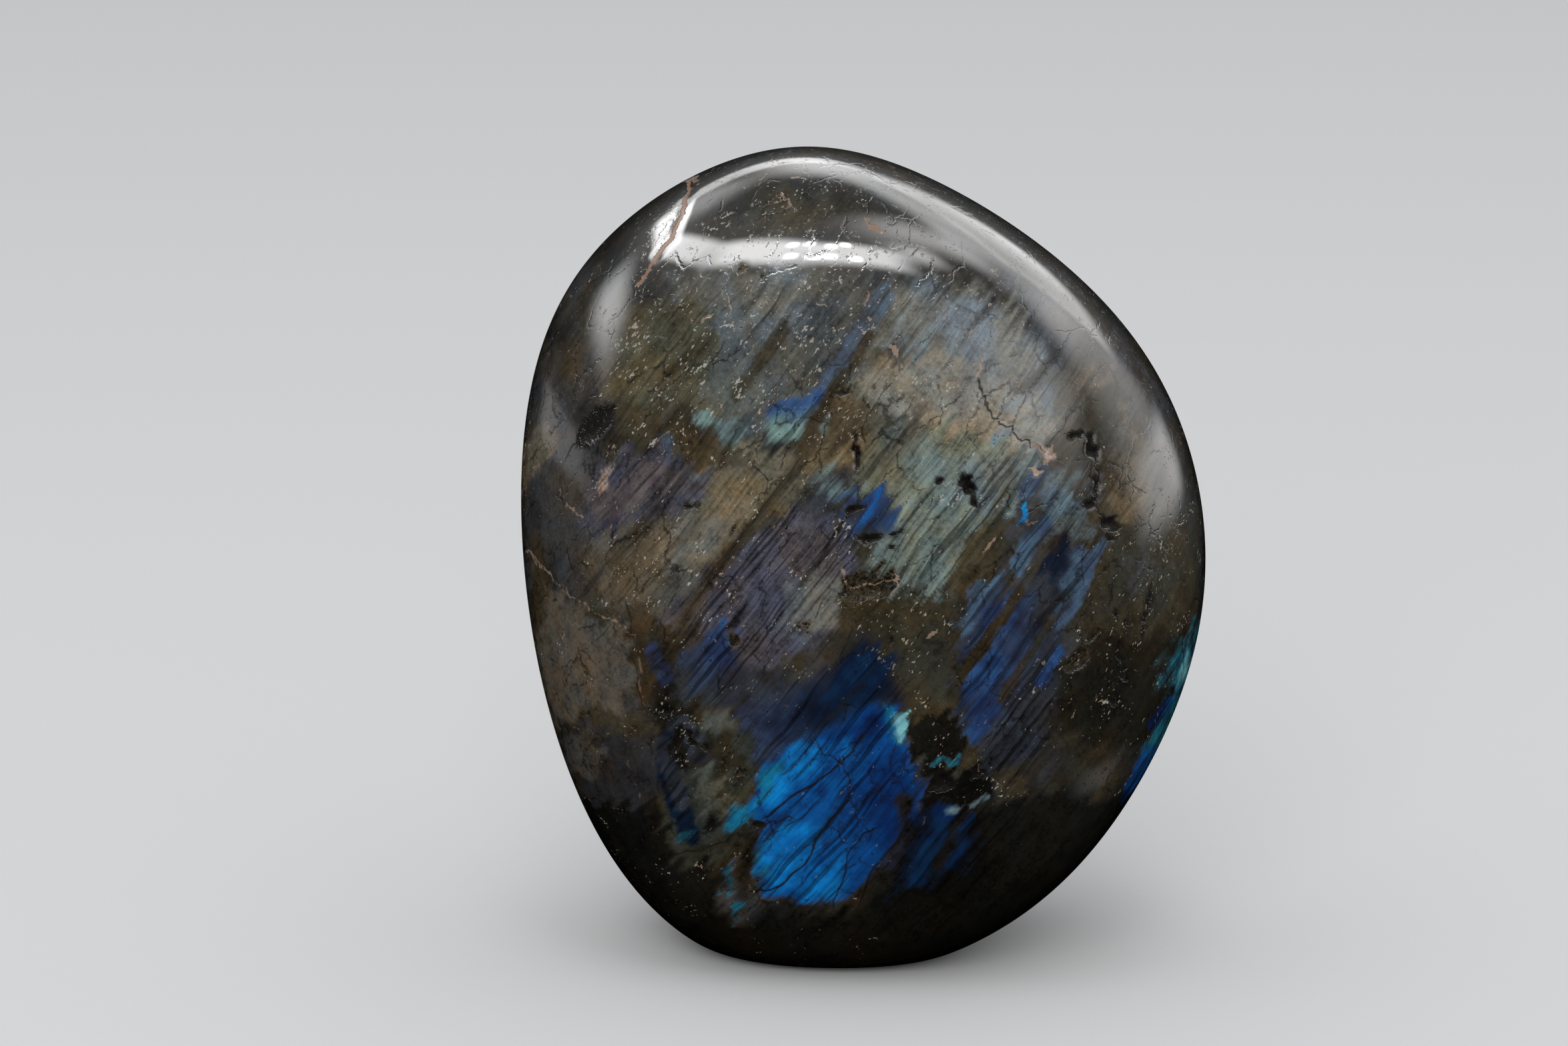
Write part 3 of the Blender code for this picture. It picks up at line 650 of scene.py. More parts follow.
    rust: tuple[Seam, ...] = (
        Seam(((1030, 262), (1034, 289), (1022, 319), (1005, 356), (987, 382), (972, 402), (956, 424)), 0.5, 1.0),
        Seam(((952, 955), (959, 975), (957, 1015), (966, 1064)), 0.2, 0.5),
        Seam(((942, 1150), (957, 1180), (962, 1214)), 0.16, 0.4),
        Seam(((1385, 1205), (1382, 1240), (1372, 1275), (1365, 1308)), 0.2, 0.4),
        Seam(((1512, 1235), (1503, 1268), (1495, 1300)), 0.14, 0.22),
        Seam(((1485, 1290), (1472, 1312), (1460, 1335)), 0.14, 0.22),
        Seam(((1156, 1039), (1185, 1061), (1206, 1086), (1221, 1107)), 0.16, 0.35),
        Seam(((1302, 333), (1322, 345)), 0.55, 1.0),
        Seam(((1298, 450), (1302, 438)), 0.3, 0.8),
        Seam(((1533, 779), (1548, 782)), 0.5, 0.6),
        Seam(((848, 650), (822, 682), (800, 705), (775, 755)), 0.3, 0.45),
        Seam(((1462, 1150), (1484, 1166), (1504, 1178)), 0.2, 0.4),
        *on_back(
            Seam(((-38, 62), (-22, 56), (-8, 60), (6, 54), (20, 58), (33, 50)), 0.4, 0.7),
            Seam(((20, 96), (14, 86), (16, 76)), 0.35, 0.6),
        ),
    )
    tan: tuple[Seam, ...] = (
        Seam(((1022, 266), (1040, 268)), 0.84, 0.8),
        Seam(((956, 424), (930, 465), (899, 512)), 0.16, 0.4),
        Seam(((790, 829), (812, 850), (823, 865)), 0.5, 0.6),
        Seam(((823, 865), (853, 889), (889, 912), (926, 935), (952, 955)), 0.18, 0.55),
        Seam(((762, 770), (775, 752), (783, 730)), 0.6, 0.6),
        Seam(((954, 1116), (945, 1130), (938, 1147)), 0.24, 0.35),
        Seam(((860, 1090), (882, 1096), (905, 1104), (920, 1095)), 0.14, 0.45),
        Seam(((919, 696), (906, 718), (896, 745)), 0.3, 0.6),
        Seam(((845, 755), (862, 765), (872, 775)), 0.24, 0.6),
        Seam(((1338, 520), (1346, 534)), 0.54, 0.8),
        Seam(((1464, 562), (1468, 545)), 0.36, 0.9),
        Seam(((1545, 705), (1562, 706)), 0.54, 0.9),
        Seam(((1550, 665), (1568, 690), (1578, 672)), 0.42, 0.7),
        Seam(((1055, 480), (1063, 474)), 0.54, 0.8),
        Seam(((1452, 500), (1456, 490)), 0.3, 0.7),
        Seam(((1475, 826), (1488, 812)), 0.3, 0.7),
        Seam(((1262, 853), (1268, 872)), 0.3, 0.7),
        Seam(((1278, 882), (1300, 876), (1330, 872), (1345, 866)), 0.22, 0.75),
        Seam(((1340, 862), (1348, 878), (1338, 888)), 0.24, 0.7),
        Seam(((1390, 955), (1400, 948)), 0.5, 0.7),
        Seam(((1170, 295), (1180, 306)), 0.66, 0.7),
        Seam(((1078, 326), (1136, 302)), 0.12, 0.5),
        Seam(((1140, 268), (1146, 263)), 0.24, 0.7),
        Seam(((1190, 264), (1196, 262)), 0.24, 0.7),
        Seam(((1042, 898), (1058, 868), (1075, 840)), 0.3, 0.4),
        Seam(((960, 688), (982, 664), (1000, 650)), 0.1, 0.5),
        Seam(((972, 700), (990, 678)), 0.1, 0.5),
        Seam(((1285, 812), (1306, 818), (1330, 812)), 0.14, 0.45),
        Seam(((1090, 430), (1098, 452), (1092, 470)), 0.14, 0.6),
        Seam(((1226, 455), (1238, 462)), 0.2, 0.6),
        Seam(((1180, 470), (1196, 500), (1204, 520)), 0.1, 0.55),
        Seam(((1340, 640), (1352, 652), (1350, 668)), 0.16, 0.5),
        Seam(((1236, 590), (1262, 582), (1290, 590)), 0.14, 0.45),
        *on_back(
            Seam(((6, 54), (2, 46), (4, 38)), 0.35, 0.6),
        ),
    )
    cracks: tuple[Seam, ...] = (
        Seam(((1465, 575), (1480, 610), (1500, 635), (1530, 655), (1560, 675)), 0.32, 0.85),
        Seam(((1221, 1107), (1239, 1132), (1260, 1146), (1274, 1168), (1274, 1200), (1287, 1232)), 0.15, 0.75),
        Seam(((1221, 1111), (1199, 1139), (1174, 1161)), 0.13, 0.7),
        Seam(((1292, 1104), (1274, 1132), (1256, 1150), (1231, 1164), (1199, 1186), (1171, 1207), (1149, 1225)), 0.3,
            0.85),
        Seam(((1274, 1193), (1260, 1211), (1239, 1236), (1221, 1264), (1214, 1286), (1189, 1311), (1164, 1332),
            (1124, 1336)), 0.26, 0.85),
        Seam(((1320, 1186), (1289, 1207), (1271, 1204)), 0.16, 0.75),
        Seam(((1310, 1240), (1285, 1262), (1272, 1280), (1267, 1310), (1250, 1357)), 0.2, 0.8),
        Seam(((1338, 1165), (1310, 1190), (1275, 1205)), 0.13, 0.65),
        Seam(((1300, 1150), (1312, 1185), (1330, 1195)), 0.13, 0.65),
        Seam(((1300, 1100), (1262, 1145)), 0.13, 0.6),
        Seam(((1365, 1225), (1340, 1265), (1305, 1310), (1290, 1350)), 0.3, 0.7),
        Seam(((1180, 1240), (1204, 1222), (1230, 1200)), 0.11, 0.6),
        Seam(((1346, 1110), (1330, 1150), (1338, 1165), (1362, 1190)), 0.14, 0.65),
        Seam(((1240, 1236), (1262, 1258), (1285, 1262)), 0.11, 0.6),
        Seam(((1137, 1236), (1160, 1232), (1181, 1227)), 0.16, 0.8),
        Seam(((1164, 1290), (1189, 1275), (1221, 1264)), 0.1, 0.55),
        Seam(((1195, 690), (1160, 740), (1120, 790), (1085, 840), (1050, 890), (1025, 930)), 0.16, 0.6),
        Seam(((1330, 330), (1348, 352), (1352, 362)), 0.12, 0.6),
        Seam(((1340, 480), (1352, 520), (1346, 560)), 0.12, 0.55),
        Seam(((1420, 1296), (1436, 1268), (1452, 1240)), 0.14, 0.6),
        Seam(((1430, 1190), (1462, 1168), (1500, 1150), (1545, 1096)), 0.2, 0.6),
        Seam(((1005, 1280), (1050, 1275), (1100, 1255), (1135, 1245)), 0.16, 0.65),
        Seam(((942, 905), (946, 950), (952, 1010), (962, 1060)), 0.14, 0.6),
        Seam(((958, 1062), (985, 1072), (1012, 1078)), 0.2, 0.7),
        Seam(((1295, 760), (1282, 790), (1290, 812)), 0.12, 0.6),
        Seam(((1600, 650), (1625, 648), (1640, 690), (1648, 708), (1636, 740), (1650, 775), (1664, 806)), 0.22,
            0.75),
        Seam(((1712, 950), (1720, 915), (1728, 878)), 0.22, 0.75),
        Seam(((1452, 735), (1460, 722), (1470, 716)), 0.14, 0.6),
        Seam(((1078, 952), (1092, 962), (1108, 958)), 0.14, 0.6),
        Seam(((870, 672), (880, 645), (905, 622), (922, 612)), 0.22, 0.7),
        Seam(((845, 690), (858, 668), (870, 655)), 0.16, 0.6),
    )
    pits: tuple[Pit, ...] = (
        Pit(Tint.OCHRE_SHADOW, (1300, 878), 4.0, 2.3, 1.0, 8, ragged=1.0),
        Pit(Tint.SOOT_AND_SHADE, (1284, 676), 0.55, 2.6, 0.8, 12),
        Pit(Tint.SOOT_AND_SHADE, (1449, 732), 0.9, 2.6, 0.8, 22),
        Pit(Tint.SOOT_AND_SHADE, (1636, 672), 0.6, 2.4, 0.6, 24),
        Pit(Tint.SOOT_AND_SHADE, (1665, 784), 1.6, 1.1, 0.6, -20),
        Pit(Tint.UMBER, (1616, 986), 1.2, 2.4, 0.7, -38),
        Pit(Tint.SOOT_AND_SHADE, (893, 640), 1.9, 3.6, 0.4, -40, strength=0.6),
        Pit(Tint.SOOT_AND_SHADE, (1413, 1172), 1.5, 2.0, 0.6, -60),
        Pit(Tint.SOOT_AND_SHADE, (1640, 734), 0.4, 2.2, 0.4, 6),
        Pit(Tint.SOOT_AND_SHADE, (1612, 652), 1.1, 0.6, 0.35, -10),
        Pit(Tint.SOOT_AND_SHADE, (1632, 758), 0.7, 0.8, 0.35),
        Pit(Tint.SOOT_AND_SHADE, (1662, 808), 0.8, 0.6, 0.3),
        Pit(Tint.SOOT_AND_SHADE, (1307, 807), 1.9, 0.7, 0.45, 6),
        Pit(Tint.SOOT_AND_SHADE, (1342, 795), 0.7, 0.7, 0.35),
        Pit(Tint.SOOT_AND_SHADE, (1336, 824), 0.5, 0.5, 0.3),
        Pit(Tint.SOOT_AND_SHADE, (1408, 719), 0.7, 0.6, 0.35),
        Pit(Tint.SOOT_AND_SHADE, (1280, 763), 1.2, 0.7, 0.3, 10),
        Pit(Tint.SOOT_AND_SHADE, (1458, 756), 0.8, 0.5, 0.3),
        Pit(Tint.SOOT_AND_SHADE, (1720, 914), 0.35, 3.4, 0.35, -13),
        Pit(Tint.SOOT_AND_SHADE, (1675, 915), 0.5, 0.7, 0.25),
        Pit(Tint.SOOT_AND_SHADE, (1693, 930), 0.4, 0.6, 0.25),
        Pit(Tint.SOOT_AND_SHADE, (1680, 1002), 0.7, 2.4, 0.3, 8, strength=0.7),
        Pit(Tint.SOOT_AND_SHADE, (1668, 1050), 0.5, 1.2, 0.25),
        Pit(Tint.UMBER, (1642, 950), 0.6, 1.5, 0.35, -30),
        Pit(Tint.WARM_GREY, (1115, 399), 0.9, 0.5, 0.06, 25),
        Pit(Tint.UMBER, (1141, 412), 0.6, 0.5, 0.06),
        Pit(Tint.UMBER, (1002, 565), 0.8, 0.4, 0.25, 30),
        Pit(Tint.UMBER, (1100, 960), 0.9, 1.1, 0.3, 30),
        Pit(Tint.WARM_GREY, (1206, 940), 1.5, 0.6, 0.3, -20),
        Pit(Tint.UMBER, (1037, 758), 1.2, 0.5, 0.3, -5),
        Pit(Tint.SOOT_AND_SHADE, (1137, 1236), 1.0, 0.6, 0.35),
        Pit(Tint.SOOT_AND_SHADE, (1068, 1236), 0.9, 0.7, 0.3),
        Pit(Tint.SOOT_AND_SHADE, (1000, 1068), 1.5, 0.9, 0.5, -30),
        Pit(Tint.SOOT_AND_SHADE, (1012, 1114), 0.8, 2.2, 0.45, -15),
        Pit(Tint.SOOT_AND_SHADE, (1034, 1108), 1.5, 0.6, 0.35, -45),
        Pit(Tint.SOOT_AND_SHADE, (1024, 1142), 0.7, 1.4, 0.3, 15),
        Pit(Tint.UMBER, (1111, 1153), 1.1, 0.6, 0.3),
        Pit(Tint.UMBER, (1056, 1120), 1.0, 0.5, 0.25, -25),
        Pit(Tint.SOOT_AND_SHADE, (1500, 430), 0.2, 1.8, 0.15, -32),
        Pit(Tint.PINK_STONE, (907, 716), 0.6, 1.9, 0.3, -24, strength=0.5),
        Pit(Tint.UMBER, (1164, 300), 1.3, 0.8, 0.25, 10, strength=0.7),
        Pit(Tint.PINK_STONE, (1568, 677), 1.3, 0.5, 0.25, -30, strength=0.7),
        Pit(Tint.PINK_STONE, (1554, 706), 0.8, 0.5, 0.2, 10, strength=0.6),
        Pit(Tint.UMBER, (1340, 950), 0.4, 1.2, 0.2, -10),
        Pit(Tint.SOOT_AND_SHADE, (1466, 1160), 1.6, 0.6, 0.3, 15),
        Pit(Tint.SOOT_AND_SHADE, (1404, 1180), 1.1, 0.9, 0.35, 20),
        Pit(Tint.UMBER, (1262, 590), 1.2, 0.5, 0.25, 15),
        Pit(Tint.UMBER, (1100, 790), 0.3, 1.2, 0.2, -35),
        *on_back(
            Pit(Tint.UMBER, (-12.0, 80.0), 2.8, 1.7, 0.9, -25),
            Pit(Tint.SOOT_AND_SHADE, (16.0, 47.0), 1.5, 3.2, 0.9, -40),
            Pit(Tint.SOOT_AND_SHADE, (26.0, 62.0), 0.7, 2.2, 0.5, -25),
            Pit(Tint.UMBER, (4.0, 52.0), 1.9, 0.8, 0.5, 10),
            Pit(Tint.SOOT_AND_SHADE, (-4.0, 71.0), 0.9, 0.7, 0.4),
            Pit(Tint.UMBER, (-28.0, 68.0), 0.6, 2.0, 0.4, 20),
            Pit(Tint.SOOT_AND_SHADE, (-14.0, 36.0), 1.2, 0.8, 0.4),
        ),
    )
    grooves: tuple[Groove, ...] = (
        Groove(((1036, 252), (1030, 268), (1034, 289), (1022, 319), (1005, 356), (987, 382), (972, 402), (956, 424)),
            0.9, 0.12),
        Groove(((790, 829), (823, 865), (853, 889), (889, 912), (926, 935), (952, 955), (959, 975), (957, 1015)),
            0.8, 0.10),
        Groove(((1465, 580), (1502, 629), (1547, 666), (1567, 682)), 0.8, 0.10),
        *on_back(
            Groove(((-38, 62), (-22, 56), (-8, 60), (6, 54), (20, 58), (33, 50)), 1.0, 0.12),
        ),
    )


@dataclass(frozen=True)
class Facet:
    """One face ground on the wheel, as a dome.

    turn and tilt say which way it looks, in degrees about +Z from +X and above the horizon. reach is how far its
    middle lies from the core, and dome the radius that it curves with.
    """

    turn: float
    tilt: float
    reach: float
    dome: float

    def axis(self) -> np.ndarray:
        """The unit vector that the face looks along."""
        turn, tilt = math.radians(self.turn), math.radians(self.tilt)
        return np.array([math.cos(turn) * math.cos(tilt), math.sin(turn) * math.cos(tilt), math.sin(tilt)])

    def distances(self, directions: np.ndarray) -> np.ndarray:
        """How far from the core rays meet the dome.

        Args:
            directions: unit vectors, one a row.

        Returns:
            One distance a row, in metres.
        """
        centre = self.axis() * (self.reach - self.dome)
        along = directions @ centre
        return along + np.sqrt(along**2 + self.dome**2 - centre @ centre)


@dataclass(frozen=True)
class GroundForm:
    """The stone's whole outer form: shallow domes that ease into each other, and a flat cut base.

    The domes meet at seam_sharpness and the base cuts them at rim_sharpness, and more of either is a crisper edge.
    """

    core_height: float = 54.0 * MM
    seam_sharpness: float = 14.0
    rim_sharpness: float = 75.0
    least_sinking: float = 1e-6
    facets: tuple[Facet, ...] = (
        Facet(-92, 4, 31.0 * MM, 160 * MM),
        Facet(-95, 38, 50.5 * MM, 140 * MM),
        Facet(-55, 8, 42.0 * MM, 140 * MM),
        Facet(-135, 0, 42.0 * MM, 140 * MM),
        Facet(-90, -38, 53.0 * MM, 140 * MM),
        Facet(90, 0, 31.0 * MM, 160 * MM),
        Facet(95, 40, 51.0 * MM, 140 * MM),
        Facet(50, 0, 42.0 * MM, 140 * MM),
        Facet(130, 0, 42.0 * MM, 140 * MM),
        Facet(90, -40, 53.5 * MM, 140 * MM),
        Facet(0, -2, 49.0 * MM, 110 * MM),
        Facet(0, 27, 51.3 * MM, 200 * MM),
        Facet(0, 54, 50.6 * MM, 200 * MM),
        Facet(178, 83, 72.0 * MM, 110 * MM),
        Facet(180, 44, 59.0 * MM, 110 * MM),
        Facet(180, -7, 48.5 * MM, 200 * MM),
        Facet(180, -26, 55.4 * MM, 200 * MM),
        Facet(180, -50, 60.0 * MM, 110 * MM),
        Facet(0, -31, 49.2 * MM, 300 * MM),
        Facet(0, -54, 54.0 * MM, 150 * MM),
        Facet(0, -88, 68.0 * MM, 110 * MM),
    )

    def distances(self, directions: np.ndarray) -> np.ndarray:
        """How far the stone reaches from its core in these directions, cut base included.

        Args:
            directions: unit vectors, one a row.

        Returns:
            One distance a row, in metres.
        """
        crowding = sum(facet.distances(directions) ** -self.seam_sharpness for facet in self.facets)
        ground = crowding ** (-1.0 / self.seam_sharpness)
        sinking = np.maximum(-directions[:, 2], self.least_sinking)
        sawn = self.core_height / sinking
        return (ground**-self.rim_sharpness + sawn**-self.rim_sharpness) ** (-1.0 / self.rim_sharpness)


@dataclass(frozen=True)
class PhotoCamera:
    """The camera at the photograph's viewing angle, and the frame that its pixels are counted in."""

    place: tuple[float, float, float] = (-10.9 * MM, -592.8 * MM, 178.0 * MM)
    downward: float = math.radians(11.3)
    lens: float = 100.0
    sensor: float = 36.0
    nearest: float = 0.01
    farthest: float = 20.0
    frame_width: int = 2350
    frame_height: int = 1568

    def pixels(self, points: np.ndarray) -> np.ndarray:
        """Where points of the stone fall in the frame.

        Args:
            points: places in metres, one a row.

        Returns:
            Pixel columns and rows, one pair a row.
        """
        offset = points - np.array(self.place)
        cosine, sine = math.cos(self.downward), math.sin(self.downward)
        ahead = offset[:, 1] * cosine - offset[:, 2] * sine
        above = offset[:, 1] * sine + offset[:, 2] * cosine
        scale = self.lens / self.sensor * self.frame_width
        return np.stack(
            [self.frame_width / 2 + scale * offset[:, 0] / ahead, self.frame_height / 2 - scale * above / ahead],
            axis=1,
        )

    def build(self) -> bpy.types.Object:
        """Adds the camera and makes it the scene's own.

        Returns:
            The camera.
        """
        bpy.ops.object.camera_add(location=self.place, rotation=(math.pi / 2 - self.downward, 0.0, 0.0))
        camera = bpy.context.object
        camera.name = "photo_camera"
        camera.data.lens = self.lens
        camera.data.sensor_width = self.sensor
        camera.data.dof.use_dof = False
        camera.data.clip_start = self.nearest
        camera.data.clip_end = self.farthest
        bpy.context.scene.camera = camera
        return camera


class NoiseSeed(Enum):
    """Which of many such noises each use reads."""

    SHREDS = 3.1
    LUMPS_RIGHT = 11.7
    LUMPS_UP = 23.9
    OCHRE = 41.3
    SLATE = 57.7
    PIT_FLOOR = 71.1


@dataclass
class LamellaGrain:
    """The feldspar's inner layers: they rise to the right at one slope, and noise drawn out along them.

    Shreds and lumps are how far a ragged edge strays, in millimetres, with the size of their grain along the layers,
    through the stone and across the layers.
    """

    slope: float = LAMELLA_SLOPE
    shred: float = 2.6
    shred_grain: Sizes = (12.0, 5.0, 0.9)
    lump: float = 1.3
    lump_grain: Sizes = (3.0, 3.0, 3.0)

    def read(self, points: np.ndarray, sizes: Sizes, seed: NoiseSeed, octaves: int = 2) -> np.ndarray:
        """Smooth noise at each point.

        Args:
            points: places in millimetres.
            sizes: its grain along the layers, through the stone and across the layers, in millimetres.
            seed: which noise.
            octaves: how many scales it mixes.

        Returns:
            One value a point, about -1 to 1.
        """
        cosine, sine = math.cos(self.slope), math.sin(self.slope)
        along = points[:, 0] * cosine + points[:, 2] * sine
        across = points[:, 2] * cosine - points[:, 0] * sine
        grid = np.stack([along, points[:, 1], across], axis=1) / np.array(sizes) + seed.value
        return np.array([noise.fractal(place, 1.0, 2.0, octaves) for place in grid.tolist()])

    def wander(self, points: np.ndarray, mirrored: bool) -> np.ndarray:
        """How far a ragged edge strays: mostly along the layers, in shreds, and a little all round, in lumps.

        Args:
            points: places in millimetres.
            mirrored: whether they are seen from behind.

        Returns:
            Millimetres to the right and up, one pair a row.
        """
        shreds = self.shred * self.read(points, self.shred_grain, NoiseSeed.SHREDS)
        lumps_right = self.lump * self.read(points, self.lump_grain, NoiseSeed.LUMPS_RIGHT, 3)
        lumps_up = self.lump * self.read(points, self.lump_grain, NoiseSeed.LUMPS_UP, 3)
        side = -1.0 if mirrored else 1.0
        return np.stack(
            [side * shreds * math.cos(self.slope) + lumps_right, shreds * math.sin(self.slope) + lumps_up], axis=1
        )


@dataclass
class MarkingPainter:
    """Gives each point of the stone its named markings, as attributes that the finish reads.

    Grains are in millimetres, along the layers, through the stone and across the layers. Each pair of limits is
    where a share starts and where it is full.
    """

    camera: PhotoCamera
    markings: Markings = field(default_factory=Markings)
    grain: LamellaGrain = field(default_factory=LamellaGrain)
    seen_limits: Limits = (-0.12, 0.12)
    behind_limits: Limits = (0.0, 0.35)
    pit_limits: Limits = (0.3, 0.7)
    ochre_grain: Sizes = (16.0, 12.0, 9.0)
    ochre_limits: Limits = (-0.35, 0.35)
    slate_grain: Sizes = (12.0, 9.0, 7.0)
    slate_limits: Limits = (-0.3, 0.4)
    slate_share: float = 0.6
    floor_grain: Sizes = (0.8, 0.8, 0.8)
    floor_roughness: float = 0.5

    def sheets(self, points: np.ndarray, normals: np.ndarray) -> dict[Side, Sheet]:
        """The stone's points on each side's sheet.

        Args:
            points: places in metres, one a row.
            normals: unit normals, one a row.

        Returns:
            One sheet a side.
        """
        to_camera = np.array(self.camera.place) - points
        to_camera /= np.linalg.norm(to_camera, axis=1)[:, None]
        seen = smooth_step(*self.seen_limits, np.einsum("ij,ij->i", to_camera, normals))
        behind = smooth_step(*self.behind_limits, normals[:, 1])
        in_mm = points / MM
        front_wander = self.grain.wander(in_mm, False) * np.array([PIXELS_PER_MM, -PIXELS_PER_MM])
        back_places = np.stack([-in_mm[:, 0], in_mm[:, 2]], axis=1)
        return {
            Side.FRONT: Sheet(self.camera.pixels(points), seen, front_wander, PIXELS_PER_MM, -1.0),
            Side.BACK: Sheet(back_places, behind, self.grain.wander(in_mm, True), 1.0, 1.0),
        }

    def clouds(self, points: np.ndarray) -> np.ndarray:
        """The stone's colour where nothing is marked: smoke, ochre and slate in slow clouds.

        Args:
            points: places in metres, one a row.

        Returns:
            One colour a row.
        """
        in_mm = points / MM
        ochre = smooth_step(*self.ochre_limits, self.grain.read(in_mm, self.ochre_grain, NoiseSeed.OCHRE, 3))
        slate = smooth_step(*self.slate_limits, self.grain.read(in_mm, self.slate_grain, NoiseSeed.SLATE, 3))
        smoke = np.tile(Tint.SMOKE.value, (len(points), 1))
        return lay_over(lay_over(smoke, Tint.OCHRE_SHADOW, ochre), Tint.SLATE, self.slate_share * slate)

    def paint(self, stone: bpy.types.Object) -> None:
        """Paints every marking and dents every pit and groove.

        Args:
            stone: the stone, ground to shape and not yet dented.
        """
        points, normals = read_points(stone), read_normals(stone)
        sheets = self.sheets(points, normals)
        body = self.clouds(points)
        banding = np.full(len(points), PLAIN_BANDING)
        flecking = np.full(len(points), PLAIN_FLECKING)
        for patch in self.markings.body:
            cover = patch.cover(sheets)
            body = lay_over(body, patch.tint, cover)
            banding += (patch.banded - banding) * cover
            flecking += (patch.flecked - flecking) * cover
        # Painted sheen: the blue flash, as a colour and how strongly it shows.
        flash = np.zeros((len(points), 3))
        amount = np.zeros(len(points))
        for mark in self.markings.flash:
            cover = mark.cover(sheets)
            kept = amount * (1.0 - cover)
            amount = kept + cover
            painted = flash * kept[:, None] + np.array(mark.tint.value) * cover[:, None]
            flash = painted / np.maximum(amount, LEAST_AMOUNT)[:, None]
        for streak in self.markings.streaks:
            cover = streak.cover(sheets)
            body = lay_over(body, streak.tint, cover)
            amount *= 1.0 - cover
        depth = np.zeros(len(points))
        damage = np.zeros(len(points))
        for pit in self.markings.pits:
            inner, share = pit.inner(sheets), pit.share(sheets)
            cover = smooth_step(*self.pit_limits, inner)
            body = lay_over(body, pit.tint, cover)
            amount *= 1.0 - cover
            damage = np.maximum(damage, pit.strength * inner)
            depth = np.maximum(depth, pit.deep * share)
        for groove in self.markings.grooves:
            depth = np.maximum(depth, groove.depth(sheets))
        crumbled = self.grain.read(points / MM, self.floor_grain, NoiseSeed.PIT_FLOOR)
        rough_floor = 1.0 + self.floor_roughness * crumbled
        write_points(stone, points - normals * (depth * rough_floor * MM)[:, None])
        write_colours(stone, BODY_ATTRIBUTE, body)
        write_colours(stone, FLASH_ATTRIBUTE, flash)
        write_colours(stone, TRAITS_ATTRIBUTE, np.stack([amount, banding, flecking], axis=1))
        write_colours(stone, RUST_ATTRIBUTE, nearest_seam(sheets, self.markings.rust))
        write_colours(stone, TAN_ATTRIBUTE, nearest_seam(sheets, self.markings.tan))
        write_colours(stone, CRACK_ATTRIBUTE, nearest_seam(sheets, self.markings.cracks))
        write_colours(stone, DAMAGE_ATTRIBUTE, np.repeat(damage[:, None], 3, axis=1))


def nearest_seam(sheets: dict[Side, Sheet], seams: tuple[Seam, ...]) -> np.ndarray:
    """How each point lies to the nearest of some seams.

    Args:
        sheets: the stone's points, a sheet a side.
        seams: the seams.

    Returns:
        What Seam.lie gives, for the seam nearest to each point.
    """
    nearest = seams[0].lie(sheets)
    for seam in seams[1:]:
        lie = seam.lie(sheets)
        nearer = np.abs(lie[:, 0]) < np.abs(nearest[:, 0])
        nearest[nearer] = lie[nearer]
    return nearest


def lay_over(under: np.ndarray, tint: Tint, cover: np.ndarray) -> np.ndarray:
    """The colours with a tint laid over them, as far as it covers each."""
    return under + (np.array(tint.value) - under) * cover[:, None]


def read_points(piece: bpy.types.Object) -> np.ndarray:
    """The piece's vertices.

    Args:
        piece: a mesh object.

    Returns:
        Their places in metres, one a row.
    """
    points = np.empty(len(piece.data.vertices) * 3)
    piece.data.vertices.foreach_get("co", points)
    return points.reshape(-1, 3)


def read_normals(piece: bpy.types.Object) -> np.ndarray:
    """The normals of the piece's vertices.

    Args:
        piece: a mesh object.

    Returns:
        Their unit normals, one a row.
    """
    normals = np.empty(len(piece.data.vertices) * 3)
    piece.data.vertices.foreach_get("normal", normals)
    return normals.reshape(-1, 3)


def write_points(piece: bpy.types.Object, points: np.ndarray) -> None:
    """Puts the piece's vertices at these places."""
    piece.data.vertices.foreach_set("co", points.ravel())
    piece.data.update()


def write_colours(piece: bpy.types.Object, name: str, colours: np.ndarray) -> None:
    """Stores a colour for each vertex.

    Args:
        piece: a mesh object.
        name: the attribute's name.
        colours: three numbers a row, one row a vertex.
    """
    attribute = piece.data.attributes.new(name, "FLOAT_COLOR", "POINT")
    opaque = np.concatenate([colours, np.ones((len(colours), 1))], axis=1)
    attribute.data.foreach_set("color", opaque.ravel())


class Ramp(NamedTuple):
    """A value's easing, from start at low and below it to end at high and above it."""

    low: float
    high: float
    start: float = 0.0
    end: float = 1.0


PIT_EDGE = Ramp(0.44, 0.56)


@dataclass(frozen=True)
class Sway:
    """How much of a tone each noise swings, from its lowest to its highest."""

    streaks: float = 0.0
    threads: float = 0.0
    mottle: float = 0.0
    clouds: float = 0.0
    crumbs: float = 0.0


